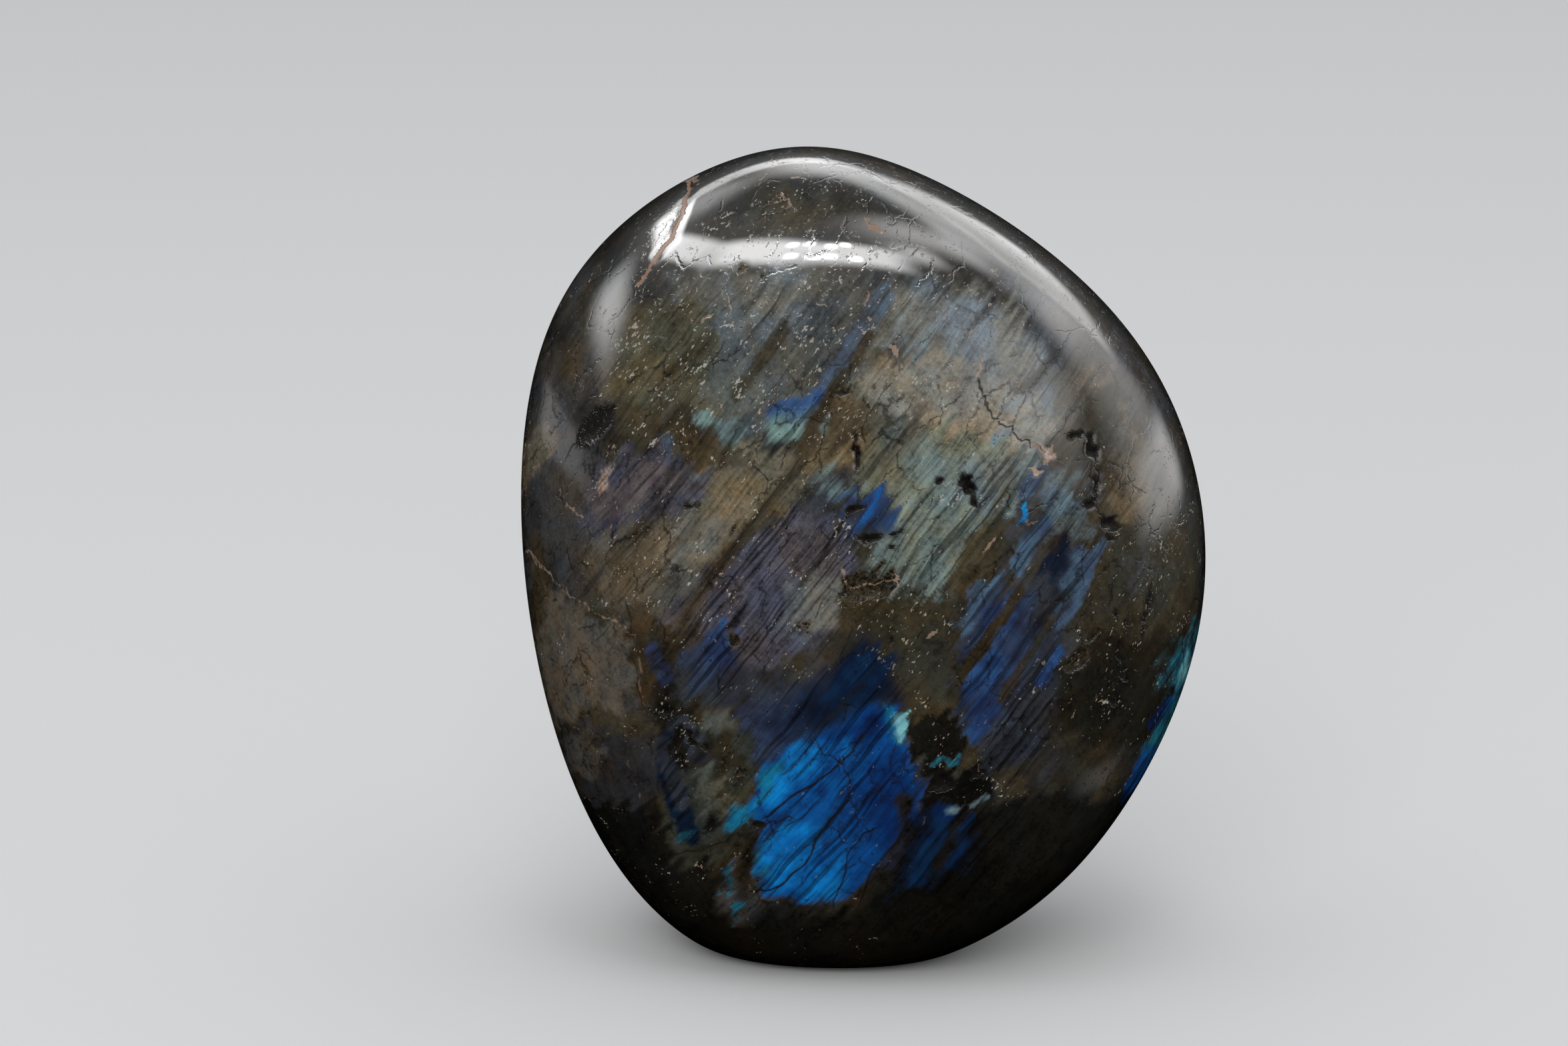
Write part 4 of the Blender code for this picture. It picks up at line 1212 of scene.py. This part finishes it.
class NodeBench:
    """Adds and joins the nodes of one material."""

    def __init__(self, tree: bpy.types.NodeTree) -> None:
        """Starts on this tree."""
        self.tree = tree

    def add(self, kind: str, **settings: object) -> bpy.types.Node:
        """Adds a node.

        Args:
            kind: its type's name.
            settings: its own options, by name.

        Returns:
            The node.
        """
        node = self.tree.nodes.new(kind)
        for name, value in settings.items():
            setattr(node, name, value)
        return node

    def feed(self, node: bpy.types.Node, values: dict[str | int, object]) -> bpy.types.Node:
        """Sets or links a node's inputs.

        Args:
            node: the node.
            values: a plain value, or another node's output, for each input.

        Returns:
            The node.
        """
        for key, value in values.items():
            if isinstance(value, bpy.types.NodeSocket):
                self.tree.links.new(value, node.inputs[key])
            else:
                node.inputs[key].default_value = value
        return node

    def math(self, operation: str, first: object, second: object = 0.0, third: object = 0.0) -> bpy.types.NodeSocket:
        """The output of a Math node."""
        node = self.add("ShaderNodeMath", operation=operation)
        return self.feed(node, {0: first, 1: second, 2: third}).outputs[0]

    def times(self, first: object, second: object) -> bpy.types.NodeSocket:
        """Two numbers multiplied."""
        return self.math("MULTIPLY", first, second)

    def most(self, *values: object) -> bpy.types.NodeSocket:
        """The greatest of some numbers."""
        return reduce(lambda one, other: self.math("MAXIMUM", one, other), values)

    def total(self, *values: object) -> bpy.types.NodeSocket:
        """Some numbers added up."""
        return reduce(lambda one, other: self.math("ADD", one, other), values)

    def swing(self, source: object, reach: float) -> bpy.types.NodeSocket:
        """A noise of 0 to 1 turned into one of -reach / 2 to reach / 2."""
        return self.math("MULTIPLY_ADD", source, reach, -reach / 2)

    def eased(self, value: object, ramp: Ramp) -> bpy.types.NodeSocket:
        """A value eased as a ramp goes.

        Args:
            value: what comes in.
            ramp: where the easing starts and ends, and what comes out there.

        Returns:
            What comes out.
        """
        limits = {"From Min": ramp.low, "From Max": ramp.high, "To Min": ramp.start, "To Max": ramp.end}
        node = self.add("ShaderNodeMapRange", interpolation_type="SMOOTHSTEP")
        return self.feed(node, {"Value": value, **limits}).outputs[0]

    def blend(self, share: object, first: object, second: object, mode: str = "MIX") -> bpy.types.NodeSocket:
        """Two colours mixed by a share."""
        node = self.add("ShaderNodeMix", data_type="RGBA", blend_type=mode, clamp_factor=True)
        return self.feed(node, {0: share, 6: first, 7: second}).outputs[2]

    def scaled(self, colour: object, amount: object) -> bpy.types.NodeSocket:
        """A colour or vector times a number."""
        node = self.add("ShaderNodeVectorMath", operation="SCALE")
        return self.feed(node, {"Vector": colour, "Scale": amount}).outputs[0]

    def grain(self, place: object, size: float, detail: float = 3.0, roughness: float = 0.55) -> bpy.types.Node:
        """A noise whose lumps are about this size in metres."""
        node = self.add("ShaderNodeTexNoise")
        return self.feed(node, {"Vector": place, "Scale": 1.0 / size, "Detail": detail, "Roughness": roughness})

    def layered(self, place: object, sizes: Sizes) -> bpy.types.NodeSocket:
        """Places in the layers' own frame.

        Args:
            place: places in the stone's frame.
            sizes: what they are counted in along, through and across the layers, in metres.

        Returns:
            The places, turned and counted so.
        """
        node = self.add("ShaderNodeMapping", vector_type="TEXTURE")
        turn = (0.0, -LAMELLA_SLOPE, 0.0)
        return self.feed(node, {"Vector": place, "Rotation": turn, "Scale": sizes}).outputs[0]

    def moved(self, place: object, way: object, reach: float) -> bpy.types.NodeSocket:
        """Places moved this many times a vector."""
        node = self.add("ShaderNodeVectorMath", operation="ADD")
        return self.feed(node, {0: place, 1: self.scaled(way, reach)}).outputs[0]

    def channels(self, name: str) -> tuple[bpy.types.NodeSocket, ...]:
        """The three numbers stored on the surface under this name."""
        parts = self.add("ShaderNodeSeparateColor")
        return tuple(self.feed(parts, {"Color": self.attribute(name)}).outputs)

    def edged(self, nearness: object, crumbs: object, crumbling: float) -> bpy.types.NodeSocket:
        """1 inside a pit, whose edge lies where nearness is a half and crumbles by this much."""
        return self.eased(self.total(nearness, self.swing(crumbs, crumbling)), PIT_EDGE)

    def attribute(self, name: str) -> bpy.types.NodeSocket:
        """The colour stored on the surface under this name."""
        return self.add("ShaderNodeAttribute", attribute_type="GEOMETRY", attribute_name=name).outputs["Color"]


@dataclass(frozen=True)
class Coating:
    """One layer of dirt, painted shadow, chips or vein laid over the stone's colour, and how much of the colour it
    hides.
    """

    colour: Colour
    hiding: float

    def over(self, bench: NodeBench, under: object, where: object) -> bpy.types.NodeSocket:
        """The colour under it with this laid over, where it lies."""
        return bench.blend(bench.times(where, self.hiding), under, (*self.colour, 1.0))


@dataclass(frozen=True)
class StoneGrain:
    """What the finish draws its detail with: places on the stone, and noises of 0 to 1.

    streaks are the broad lamellae, threads the fine ones, lines the hair-thin dark ones, mottle the granular mottle
    and crumbs the finest grain.
    """

    place: object
    streaks: object
    threads: object
    lines: object
    mottle: object
    crumbs: object


@dataclass(frozen=True)
class PolishedLabradorite:
    """Cloudy layered feldspar that flashes blue, under a wheel polish.

    Sizes are in metres. streak, thread, hairline, crack_cell and chip give the grain along the layers, through the
    stone and across the layers. Each crumbling is how far an edge crumbles and each blur half the width that it
    fades over, in millimetres. Each swing is how far a noise shifts what is drawn with it, and each sinking how much
    lower a form lies, as a share of the bump's depth.
    """

    bend: float = 2.0 * MM
    streak: Sizes = (16.0 * MM, 6.0 * MM, 1.3 * MM)
    thread: Sizes = (9.0 * MM, 4.0 * MM, 0.36 * MM)
    hairline: Sizes = (22.0 * MM, 8.0 * MM, 0.75 * MM)
    crack_cell: Sizes = (7.5 * MM, 5.0 * MM, 3.4 * MM)
    crack_warp_grain: float = 1.6 * MM
    crack_warp: float = 1.8 * MM
    crack_field: float = 5.0 * MM
    cloud: float = 11.0 * MM
    mottle: float = 2.2 * MM
    crumb: float = 0.55 * MM
    chip: Sizes = (0.75 * MM, 0.5 * MM, 0.36 * MM)
    chip_field: float = 3.2 * MM
    body_sway: Sway = Sway(streaks=2.2, threads=1.9, mottle=1.7, clouds=1.3, crumbs=1.0)
    body_least: float = 0.12
    body_warmth: Ramp = Ramp(0.35, 0.65)
    flash_sway: Sway = Sway(streaks=1.9, threads=1.1, mottle=0.9)
    flash_middle: float = 1.05
    flash_least: float = 0.08
    flash_shred: Sway = Sway(streaks=1.2, threads=0.7, mottle=0.9)
    flash_edge: Ramp = Ramp(0.05, 0.95)
    flash_start: Ramp = Ramp(0.02, 0.3)
    flash_depth: Ramp = Ramp(0.36, 0.64)
    fleck_colour: Colour = (0.36, 0.26, 0.18)
    pale_fleck_colour: Colour = (0.42, 0.42, 0.38)
    fleck_hiding: float = 0.7
    cool_cast: Colour = (0.86, 1.0, 1.16)
    warm_cast: Colour = (1.14, 1.0, 0.80)
    deep_cast: Colour = (0.8, 0.72, 0.80)
    bright_cast: Colour = (1.2, 1.28, 1.18)
    hairline_ramp: Ramp = Ramp(0.34, 0.44, 0.65, 0.0)
    hairlines_in_flash: float = 0.9
    crack_line: Ramp = Ramp(0.0, 0.045, 1.0, 0.0)
    crack_swing: float = 0.05
    crack_presence: Ramp = Ramp(0.46, 0.60)
    dirt_in_crumbs: Ramp = Ramp(0.57, 0.66)
    dirt_in_mottle: Ramp = Ramp(0.55, 0.68)
    seam_swing: float = 1.4
    seam_unbroken: Ramp = Ramp(0.40, 0.62)
    fleck_size: Ramp = Ramp(0.735, 0.785)
    fleck_swing: float = 0.6
    fleck_gain: float = 0.1
    fleck_start: Ramp = Ramp(0.02, 0.1)
    fleck_cast: Ramp = Ramp(0.4, 0.6)
    flecks_in_flash: Ramp = Ramp(0.0, 1.0, 1.0, 0.35)
    pit_crumbs: Ramp = Ramp(0.40, 0.56, 1.0, 0.0)
    fissure_dirt: Coating = Coating(DIRT_AND_SHADOW, 0.7)
    crack_dirt: Coating = Coating(DIRT_AND_SHADOW, 0.95)
    # Painted shadow: a soft dark halo on either side of each crack, so that the crack looks deep.
    crack_shadow: Coating = Coating(DIRT_AND_SHADOW, 0.75)
    pit_dirt: Coating = Coating(DIRT_AND_SHADOW, 0.9)
    tan: Coating = Coating((0.34, 0.235, 0.165), 0.8)
    rust: Coating = Coating((0.27, 0.145, 0.085), 0.85)
    crack_crumbling: float = 0.22
    shadow_crumbling: float = 0.3
    shadow_blur: float = 0.42
    vein_crumbling: float = 0.7
    pit_crumbling: float = 0.8
    edge_blur: float = 0.05
    worn_seams: float = 0.75
    pit_sinking: float = 0.6
    fissure_sinking: float = 0.25
    bump_strength: float = 0.5
    bump_depth: float = 0.12 * MM
    roughness: Ramp = Ramp(0.0, 1.0, 0.38, 0.8)
    polish: Ramp = Ramp(0.1, 0.9, 1.0, 0.1)
    polish_roughness: float = 0.035
    inner_specular: float = 0.1

    def build(self) -> bpy.types.Material:
        """Makes the material.

        Returns:
            The finish, which reads the painter's attributes.
        """
        material = bpy.data.materials.new("polished labradorite")
        material.use_nodes = True
        bench = NodeBench(material.node_tree)
        shader = material.node_tree.nodes["Principled BSDF"]
        grain = self.stone_grain(bench)
        flash_amount, banding, flecking = bench.channels(TRAITS_ATTRIBUTE)
        # Painted sheen: the blue flash is mixed into the base colour where it shows.
        flash, flashing = self.flash_colour(bench, grain, flash_amount)
        colour = bench.blend(flashing, self.body_colour(bench, grain, banding), flash)
        layered = bench.most(banding, bench.times(flashing, self.hairlines_in_flash))
        dark = bench.times(bench.eased(grain.lines, self.hairline_ramp), layered)
        colour = bench.scaled(colour, bench.math("SUBTRACT", 1.0, dark))
        fissures = self.fissures(bench, grain)
        cracked = self.seam(bench, CRACK_ATTRIBUTE, grain, self.crack_crumbling)
        # shadow is painted shade: a soft dark halo along each crack.
        shadow = self.seam(bench, CRACK_ATTRIBUTE, grain, self.shadow_crumbling, self.shadow_blur)
        for coating, where in (
            (self.fissure_dirt, fissures), (self.crack_dirt, cracked), (self.crack_shadow, shadow)
        ):
            colour = coating.over(bench, colour, where)
        flecks = bench.times(self.flecks(bench, grain, flecking), bench.eased(flashing, self.flecks_in_flash))
        colour = bench.blend(bench.times(flecks, self.fleck_hiding), colour, self.chip_colour(bench, grain))
        tanned = self.seam(bench, TAN_ATTRIBUTE, grain, self.vein_crumbling)
        rusted = self.seam(bench, RUST_ATTRIBUTE, grain, self.vein_crumbling)
        open_pit = bench.edged(bench.channels(DAMAGE_ATTRIBUTE)[0], grain.crumbs, self.pit_crumbling)
        crumbled = bench.times(open_pit, bench.eased(grain.crumbs, self.pit_crumbs))
        for coating, where in ((self.tan, tanned), (self.rust, rusted), (self.pit_dirt, crumbled)):
            colour = coating.over(bench, colour, where)
        worn = bench.most(open_pit, bench.times(bench.most(tanned, rusted, flecks, cracked), self.worn_seams))
        height = bench.math("SUBTRACT", bench.times(crumbled, -self.pit_sinking), worn)
        height = bench.math("SUBTRACT", height, bench.times(fissures, self.fissure_sinking))
        bump = bench.add("ShaderNodeBump")
        bench.feed(bump, {"Height": height, "Strength": self.bump_strength, "Distance": self.bump_depth})
        bench.feed(
            shader,
            {
                "Base Color": colour,
                "Roughness": bench.eased(worn, self.roughness),
                "Normal": bump.outputs[0],
                "Specular IOR Level": self.inner_specular,
                "Coat Weight": bench.eased(worn, self.polish),
                "Coat Roughness": self.polish_roughness,
                "Coat Normal": bump.outputs[0],
            },
        )
        return material

    def stone_grain(self, bench: NodeBench) -> StoneGrain:
        """Lays out the noises that the finish is drawn with.

        Args:
            bench: where their nodes go.

        Returns:
            Their outputs.
        """
        place = bench.add("ShaderNodeTexCoord").outputs["Object"]
        wobble = bench.grain(place, self.cloud, 2.0).outputs["Color"]
        centred = bench.add("ShaderNodeVectorMath", operation="SUBTRACT")
        bench.feed(centred, {0: wobble, 1: (0.5, 0.5, 0.5)})
        bent = bench.moved(place, centred.outputs[0], self.bend)
        return StoneGrain(
            place=place,
            streaks=bench.grain(bench.layered(bent, self.streak), 1.0, 3.0).outputs[0],
            threads=bench.grain(bench.layered(bent, self.thread), 1.0, 2.0).outputs[0],
            lines=bench.grain(bench.layered(bent, self.hairline), 1.0, 1.0).outputs[0],
            mottle=bench.grain(place, self.mottle, 5.0, 0.65).outputs[0],
            crumbs=bench.grain(place, self.crumb, 3.0, 0.65).outputs[0],
        )

    def body_colour(self, bench: NodeBench, grain: StoneGrain, banding: object) -> bpy.types.NodeSocket:
        """The clouded body, with its lamellae.

        Args:
            bench: where its nodes go.
            grain: the stone's noises.
            banding: how plainly the lamellae show.

        Returns:
            Its colour.
        """
        sway = self.body_sway
        layers = bench.total(bench.swing(grain.streaks, sway.streaks), bench.swing(grain.threads, sway.threads))
        clouds = bench.grain(grain.place, self.cloud, 4.0).outputs[0]
        tone = bench.total(
            bench.math("MULTIPLY_ADD", layers, banding, 1.0),
            bench.swing(clouds, sway.clouds),
            bench.swing(grain.mottle, sway.mottle),
            bench.swing(grain.crumbs, sway.crumbs),
        )
        warmth = bench.eased(bench.grain(grain.place, 0.6 * self.cloud, 4.0).outputs[0], self.body_warmth)
        cast = bench.blend(warmth, (*self.cool_cast, 1.0), (*self.warm_cast, 1.0))
        tinted = bench.blend(1.0, bench.attribute(BODY_ATTRIBUTE), cast, "MULTIPLY")
        return bench.scaled(tinted, bench.most(tone, self.body_least))

    def flash_colour(
        self, bench: NodeBench, grain: StoneGrain, amount: object
    ) -> tuple[bpy.types.NodeSocket, bpy.types.NodeSocket]:
        """The blue flash, shredded along the lamellae: a painted sheen, the light that the inner layers send back
        laid in as colour, the same from every side.

        Args:
            bench: where its nodes go.
            grain: the stone's noises.
            amount: how strongly it was painted.

        Returns:
            Its colour, and where it shows.
        """
        shredded = self.swayed(bench, grain, amount, self.flash_shred)
        showing = bench.times(bench.eased(shredded, self.flash_edge), bench.eased(amount, self.flash_start))
        glow = self.swayed(bench, grain, self.flash_middle, self.flash_sway)
        depth = bench.eased(bench.grain(grain.place, 0.4 * self.cloud, 4.0, 0.6).outputs[0], self.flash_depth)
        cast = bench.blend(depth, (*self.deep_cast, 1.0), (*self.bright_cast, 1.0))
        tinted = bench.blend(1.0, bench.attribute(FLASH_ATTRIBUTE), cast, "MULTIPLY")
        return bench.scaled(tinted, bench.most(glow, self.flash_least)), showing

    def swayed(self, bench: NodeBench, grain: StoneGrain, middle: object, sway: Sway) -> bpy.types.NodeSocket:
        """A value swung by the streaks, the threads and the mottle.

        Args:
            bench: where its nodes go.
            grain: the stone's noises.
            middle: the value that they swing.
            sway: how far each of them swings it.

        Returns:
            The swung value.
        """
        return bench.total(
            middle,
            bench.swing(grain.streaks, sway.streaks),
            bench.swing(grain.threads, sway.threads),
            bench.swing(grain.mottle, sway.mottle),
        )

    def fissures(self, bench: NodeBench, grain: StoneGrain) -> bpy.types.NodeSocket:
        """A net of fine cracks that comes and goes.

        Args:
            bench: where its nodes go.
            grain: the stone's noises.

        Returns:
            1 on a crack and 0 beside it.
        """
        warp = bench.grain(grain.place, self.crack_warp_grain, 3.0, 0.6).outputs["Color"]
        warped = bench.moved(grain.place, warp, self.crack_warp)
        cells = bench.add("ShaderNodeTexVoronoi", feature="DISTANCE_TO_EDGE")
        bench.feed(cells, {"Vector": bench.layered(warped, self.crack_cell), "Scale": 1.0})
        line = bench.total(cells.outputs[0], bench.swing(grain.crumbs, self.crack_swing))
        shown = bench.eased(bench.grain(grain.place, self.crack_field, 3.0, 0.6).outputs[0], self.crack_presence)
        net = bench.times(bench.eased(line, self.crack_line), shown)
        gritty = bench.eased(grain.crumbs, self.dirt_in_crumbs)
        dirty = bench.eased(grain.mottle, self.dirt_in_mottle)
        return bench.most(net, bench.times(gritty, dirty))

    def seam(
        self, bench: NodeBench, name: str, grain: StoneGrain, crumbling: float, blur: float | None = None
    ) -> bpy.types.NodeSocket:
        """The seams stored under one name.

        Args:
            bench: where its nodes go.
            name: the attribute that the painter stored them under.
            grain: the stone's noises, whose mottle leaves a weak seam broken.
            crumbling: how far an edge crumbles, in millimetres.
            blur: half the width that an edge fades over, in millimetres, or the finish's own.

        Returns:
            How plainly a seam shows, 0 beside it.
        """
        blur = blur or self.edge_blur
        offset, present, half = bench.channels(name)
        inner = bench.math("SUBTRACT", half, bench.math("ABSOLUTE", offset))
        line = bench.eased(bench.total(inner, bench.swing(grain.crumbs, crumbling)), Ramp(-blur, blur))
        whole = bench.total(present, bench.swing(grain.mottle, self.seam_swing))
        unbroken = bench.eased(whole, self.seam_unbroken)
        return bench.times(bench.times(line, present), unbroken)

    def flecks(self, bench: NodeBench, grain: StoneGrain, flecking: object) -> bpy.types.NodeSocket:
        """Tiny pale chips in the polish.

        Args:
            bench: where its nodes go.
            grain: the stone's noises.
            flecking: how thickly they lie.

        Returns:
            1 where one lies.
        """
        clusters = bench.grain(grain.place, self.chip_field, 3.0, 0.6).outputs[0]
        chips = bench.grain(bench.layered(grain.place, self.chip), 1.0, 2.0, 0.6).outputs[0]
        level = bench.total(chips, bench.swing(clusters, self.fleck_swing), bench.times(flecking, self.fleck_gain))
        return bench.times(bench.eased(level, self.fleck_size), bench.eased(flecking, self.fleck_start))

    def chip_colour(self, bench: NodeBench, grain: StoneGrain) -> bpy.types.NodeSocket:
        """Tan in some places and grey in others, as the mottle goes."""
        tan, grey = (*self.fleck_colour, 1.0), (*self.pale_fleck_colour, 1.0)
        return bench.blend(bench.eased(grain.mottle, self.fleck_cast), tan, grey)


def deselect_all() -> None:
    """Leaves nothing selected, so that an operator acts only on what is picked next."""
    if bpy.context.mode != "OBJECT":
        bpy.ops.object.mode_set(mode="OBJECT")
    bpy.ops.object.select_all(action="DESELECT")


@dataclass
class LabradoriteStone:
    """The stone itself, as one closed surface that is finest on its front.

    Its ball is cut in two goes, because one subdivision makes 100 cuts at most. front_draw is how far the ball's
    middle lies before the core, as a share of its radius.
    """

    form: GroundForm = field(default_factory=GroundForm)
    camera: PhotoCamera = field(default_factory=PhotoCamera)
    first_cuts: int = 61
    second_cuts: int = 1
    front_draw: float = 0.25

    def build(self) -> bpy.types.Object:
        """Models the stone and dresses it.

        Returns:
            The finished piece.
        """
        stone = self.model_ball()
        self.grind(stone)
        MarkingPainter(self.camera).paint(stone)
        stone.data.materials.append(PolishedLabradorite().build())
        bpy.ops.object.shade_smooth()
        return stone

    def model_ball(self) -> bpy.types.Object:
        """Adds a cube at the stone's core, cuts it finely and blows it up into a ball.

        Returns:
            The ball.
        """
        deselect_all()
        bpy.ops.mesh.primitive_cube_add(size=2.0, location=(0.0, 0.0, 0.0))
        ball = bpy.context.object
        ball.name = STONE_PIECE
        ball.data.name = STONE_PIECE
        bpy.ops.object.mode_set(mode="EDIT")
        bpy.ops.mesh.select_all(action="SELECT")
        bpy.ops.mesh.subdivide(number_cuts=self.first_cuts)
        bpy.ops.mesh.subdivide(number_cuts=self.second_cuts)
        bpy.ops.transform.tosphere(value=1.0)
        bpy.ops.object.mode_set(mode="OBJECT")
        return ball

    def grind(self, stone: bpy.types.Object) -> None:
        """Brings every point of the ball onto the ground form, middled over the origin as the CAD node is.

        Args:
            stone: the ball.
        """
        points = read_points(stone)
        points /= np.linalg.norm(points, axis=1)[:, None]
        points = points + np.array([0.0, -self.front_draw, 0.0])
        directions = points / np.linalg.norm(points, axis=1)[:, None]
        places = directions * self.form.distances(directions)[:, None]
        places[:, 2] += self.form.core_height
        low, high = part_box(CAD_NODE)
        middle = np.array([(low[0] + high[0]) / 2, (low[1] + high[1]) / 2])
        places[:, :2] += middle - (places[:, :2].min(axis=0) + places[:, :2].max(axis=0)) / 2
        write_points(stone, places)


@dataclass(frozen=True)
class Lamp:
    """One soft panel lamp that faces the stone.

    Its middle line runs between two directions seen from the stone, each a turn and a tilt in degrees: turn 0 is the
    camera's side and 90 the stone's right. reach is how far away it is and tall how wide the panel is across that
    line, in metres. glow is its brightness, and feather the share of the panel over which it dims towards an edge.
    """

    name: str
    start: Spot
    end: Spot
    reach: float
    tall: float
    glow: float
    feather: float = 0.0
    reflected: bool = True
    lights: bool = False


def towards(turn: float, tilt: float) -> Vector:
    """The unit vector to a lamp in this direction, in degrees."""
    turn, tilt = math.radians(turn), math.radians(tilt)
    return Vector((math.sin(turn) * math.cos(tilt), -math.cos(turn) * math.cos(tilt), math.sin(tilt)))


@dataclass
class Studio:
    """A pale floor, an even pale room and soft panel lamps."""

    aim: Vector = field(default_factory=lambda: Vector((0.0, 0.0, 60 * MM)))
    floor_side: float = 14.0
    floor_colour: Colour = (0.80, 0.80, 0.795)
    floor_roughness: float = 0.9
    room_colour: Colour = (0.80, 0.81, 0.83)
    room_strength: float = 0.8
    lamps: tuple[Lamp, ...] = (
        Lamp("front strip", (20, 52), (-22, 52), 0.6, 0.14, 15.0, 0.35),
        Lamp("front left strip", (-8, 51.5), (-60, 51.5), 0.6, 0.15, 17.0, 0.35),
        Lamp("corner strip", (-46, 52), (-104, 46), 0.6, 0.13, 14.0, 0.3),
        Lamp("side strip", (-84, 48), (-142, 40), 0.6, 0.12, 14.0, 0.3),
        Lamp("back strip", (-128, 39), (162, 40), 0.7, 0.14, 3.8, 0.3),
        Lamp("left high panel", (-104, 52), (-158, 50), 0.7, 0.32, 2.6, 0.45),
        Lamp("back high panel", (-150, 51), (142, 49), 0.7, 0.42, 4.6, 0.45),
        Lamp("left strip", (-76, 18), (-124, 30), 0.6, 0.25, 5.4, 0.45),
        Lamp("left low strip", (-85, 1), (-133, 1), 0.6, 0.07, 0.8, 0.3),
        Lamp("over panel", (-10, 61), (96, 58), 0.8, 0.36, 6.2, 0.5),
        Lamp("shoulder panel", (6, 56), (44, 58), 0.8, 0.20, 9.0, 0.5),
        Lamp("right high panel", (52, 56), (124, 58), 0.8, 0.32, 4.8, 0.45),
        Lamp("right far panel", (92, 57), (160, 53), 0.8, 0.44, 4.0, 0.4),
        Lamp("right upper panel", (60, 38), (130, 36), 0.8, 0.46, 3.4, 0.45),
        Lamp("right back panel", (112, 36), (166, 32), 0.8, 0.48, 3.0, 0.2),
        Lamp("right panel", (62, 24), (134, 20), 0.8, 0.56, 1.9, 0.4),
        Lamp("right lens panel", (74, 5), (136, 5), 0.8, 0.18, 2.7, 0.35),
        Lamp("right front panel", (2, 25), (70, 18), 0.8, 0.50, 2.3, 0.45),
        Lamp("low right panel", (40, -29), (88, -29), 0.7, 0.10, 0.5, 0.4),
        Lamp("top fill", (-10, 70), (30, 70), 2.6, 1.8, 1.6, reflected=False, lights=True),
        Lamp("front fill", (-26, 24), (10, 24), 2.0, 1.2, 3.0, reflected=False, lights=True),
    )
    dots: tuple[Spot, ...] = (
        (-21.9, 57), (-20, 52), (-16.7, 57.6), (-13.5, 51.5), (-9.6, 56.8), (-9.4, 52), (-5.1, 58), (-2.6, 51.6)
    )
    dot_turn: float = 2.6
    dot_reach: float = 0.58
    dot_side: float = 0.034
    dot_glow: float = 70.0
    dot_feather: float = 0.5

    def build(self) -> None:
        """Sets the floor, the room light and the lamps."""
        self.lay_floor()
        self.light_room()
        for lamp in self.lamps:
            self.hang(lamp)
        for turn, tilt in self.dots:
            start, end = (turn + self.dot_turn, tilt), (turn - self.dot_turn, tilt)
            self.hang(Lamp("small lamp", start, end, self.dot_reach, self.dot_side, self.dot_glow, self.dot_feather))

    def lay_floor(self) -> bpy.types.Object:
        """Lays a plain pale floor under the stone.

        Returns:
            The floor.
        """
        deselect_all()
        bpy.ops.mesh.primitive_plane_add(size=self.floor_side)
        floor = bpy.context.object
        floor.name = "floor"
        material = bpy.data.materials.new("pale floor")
        material.use_nodes = True
        shader = material.node_tree.nodes["Principled BSDF"]
        shader.inputs["Base Color"].default_value = (*self.floor_colour, 1.0)
        shader.inputs["Roughness"].default_value = self.floor_roughness
        shader.inputs["Specular IOR Level"].default_value = 0.0
        floor.data.materials.append(material)
        floor.visible_glossy = False
        return floor

    def light_room(self) -> None:
        """Gives the room an even light that the polish doesn't mirror."""
        world = bpy.data.worlds.new("studio room")
        world.use_nodes = True
        background = world.node_tree.nodes["Background"]
        background.inputs["Color"].default_value = (*self.room_colour, 1.0)
        background.inputs["Strength"].default_value = self.room_strength
        world.cycles_visibility.glossy = False
        bpy.context.scene.world = world
        bpy.context.scene.view_settings.view_transform = "Standard"

    def hang(self, lamp: Lamp) -> bpy.types.Object:
        """Hangs one lamp.

        Args:
            lamp: the panel to hang.

        Returns:
            The light.
        """
        start, end = (self.aim + towards(*direction) * lamp.reach for direction in (lamp.start, lamp.end))
        middle = (start + end) / 2
        out = (middle - self.aim).normalized()
        along = (end - start - (end - start).dot(out) * out).normalized()
        wide = (end - start).length
        bpy.ops.object.light_add(type="AREA", location=middle)
        light = bpy.context.object
        light.name = lamp.name
        light.rotation_euler = Matrix((along, out.cross(along), out)).transposed().to_euler()
        light.data.shape = "RECTANGLE"
        light.data.size = wide
        light.data.size_y = lamp.tall
        light.data.energy = lamp.glow * math.pi * wide * lamp.tall
        light.visible_camera = False
        light.visible_glossy = lamp.reflected
        light.visible_diffuse = lamp.lights
        if lamp.feather:
            self.dim_edges(light, lamp.feather)
        return light

    def dim_edges(self, light: bpy.types.Object, feather: float) -> None:
        """Lets a panel dim towards its edges.

        Args:
            light: the panel's light.
            feather: the share of its width and height over which each edge dims.
        """
        light.data.use_nodes = True
        bench = NodeBench(light.data.node_tree)
        emission = next(node for node in light.data.node_tree.nodes if node.type == "EMISSION")
        sides = bench.add("ShaderNodeSeparateXYZ")
        bench.feed(sides, {0: bench.add("ShaderNodeNewGeometry").outputs["Parametric"]})
        strength = 1.0
        for side in (sides.outputs[0], sides.outputs[1]):
            edge = bench.math("MINIMUM", side, bench.math("SUBTRACT", 1.0, side))
            strength = bench.times(strength, bench.eased(edge, Ramp(0.0, feather)))
        bench.feed(emission, {"Strength": strength})


def main() -> None:
    """Builds the stone and the studio round it."""
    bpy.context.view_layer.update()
    PhotoCamera().build()
    stone = LabradoriteStone().build()
    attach(stone, "root")
    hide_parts(CAD_NODE)
    log.info("stone: %d faces", len(stone.data.polygons))
    Studio().build()
    log.info("studio set")


if __name__ == "__main__":
    main()
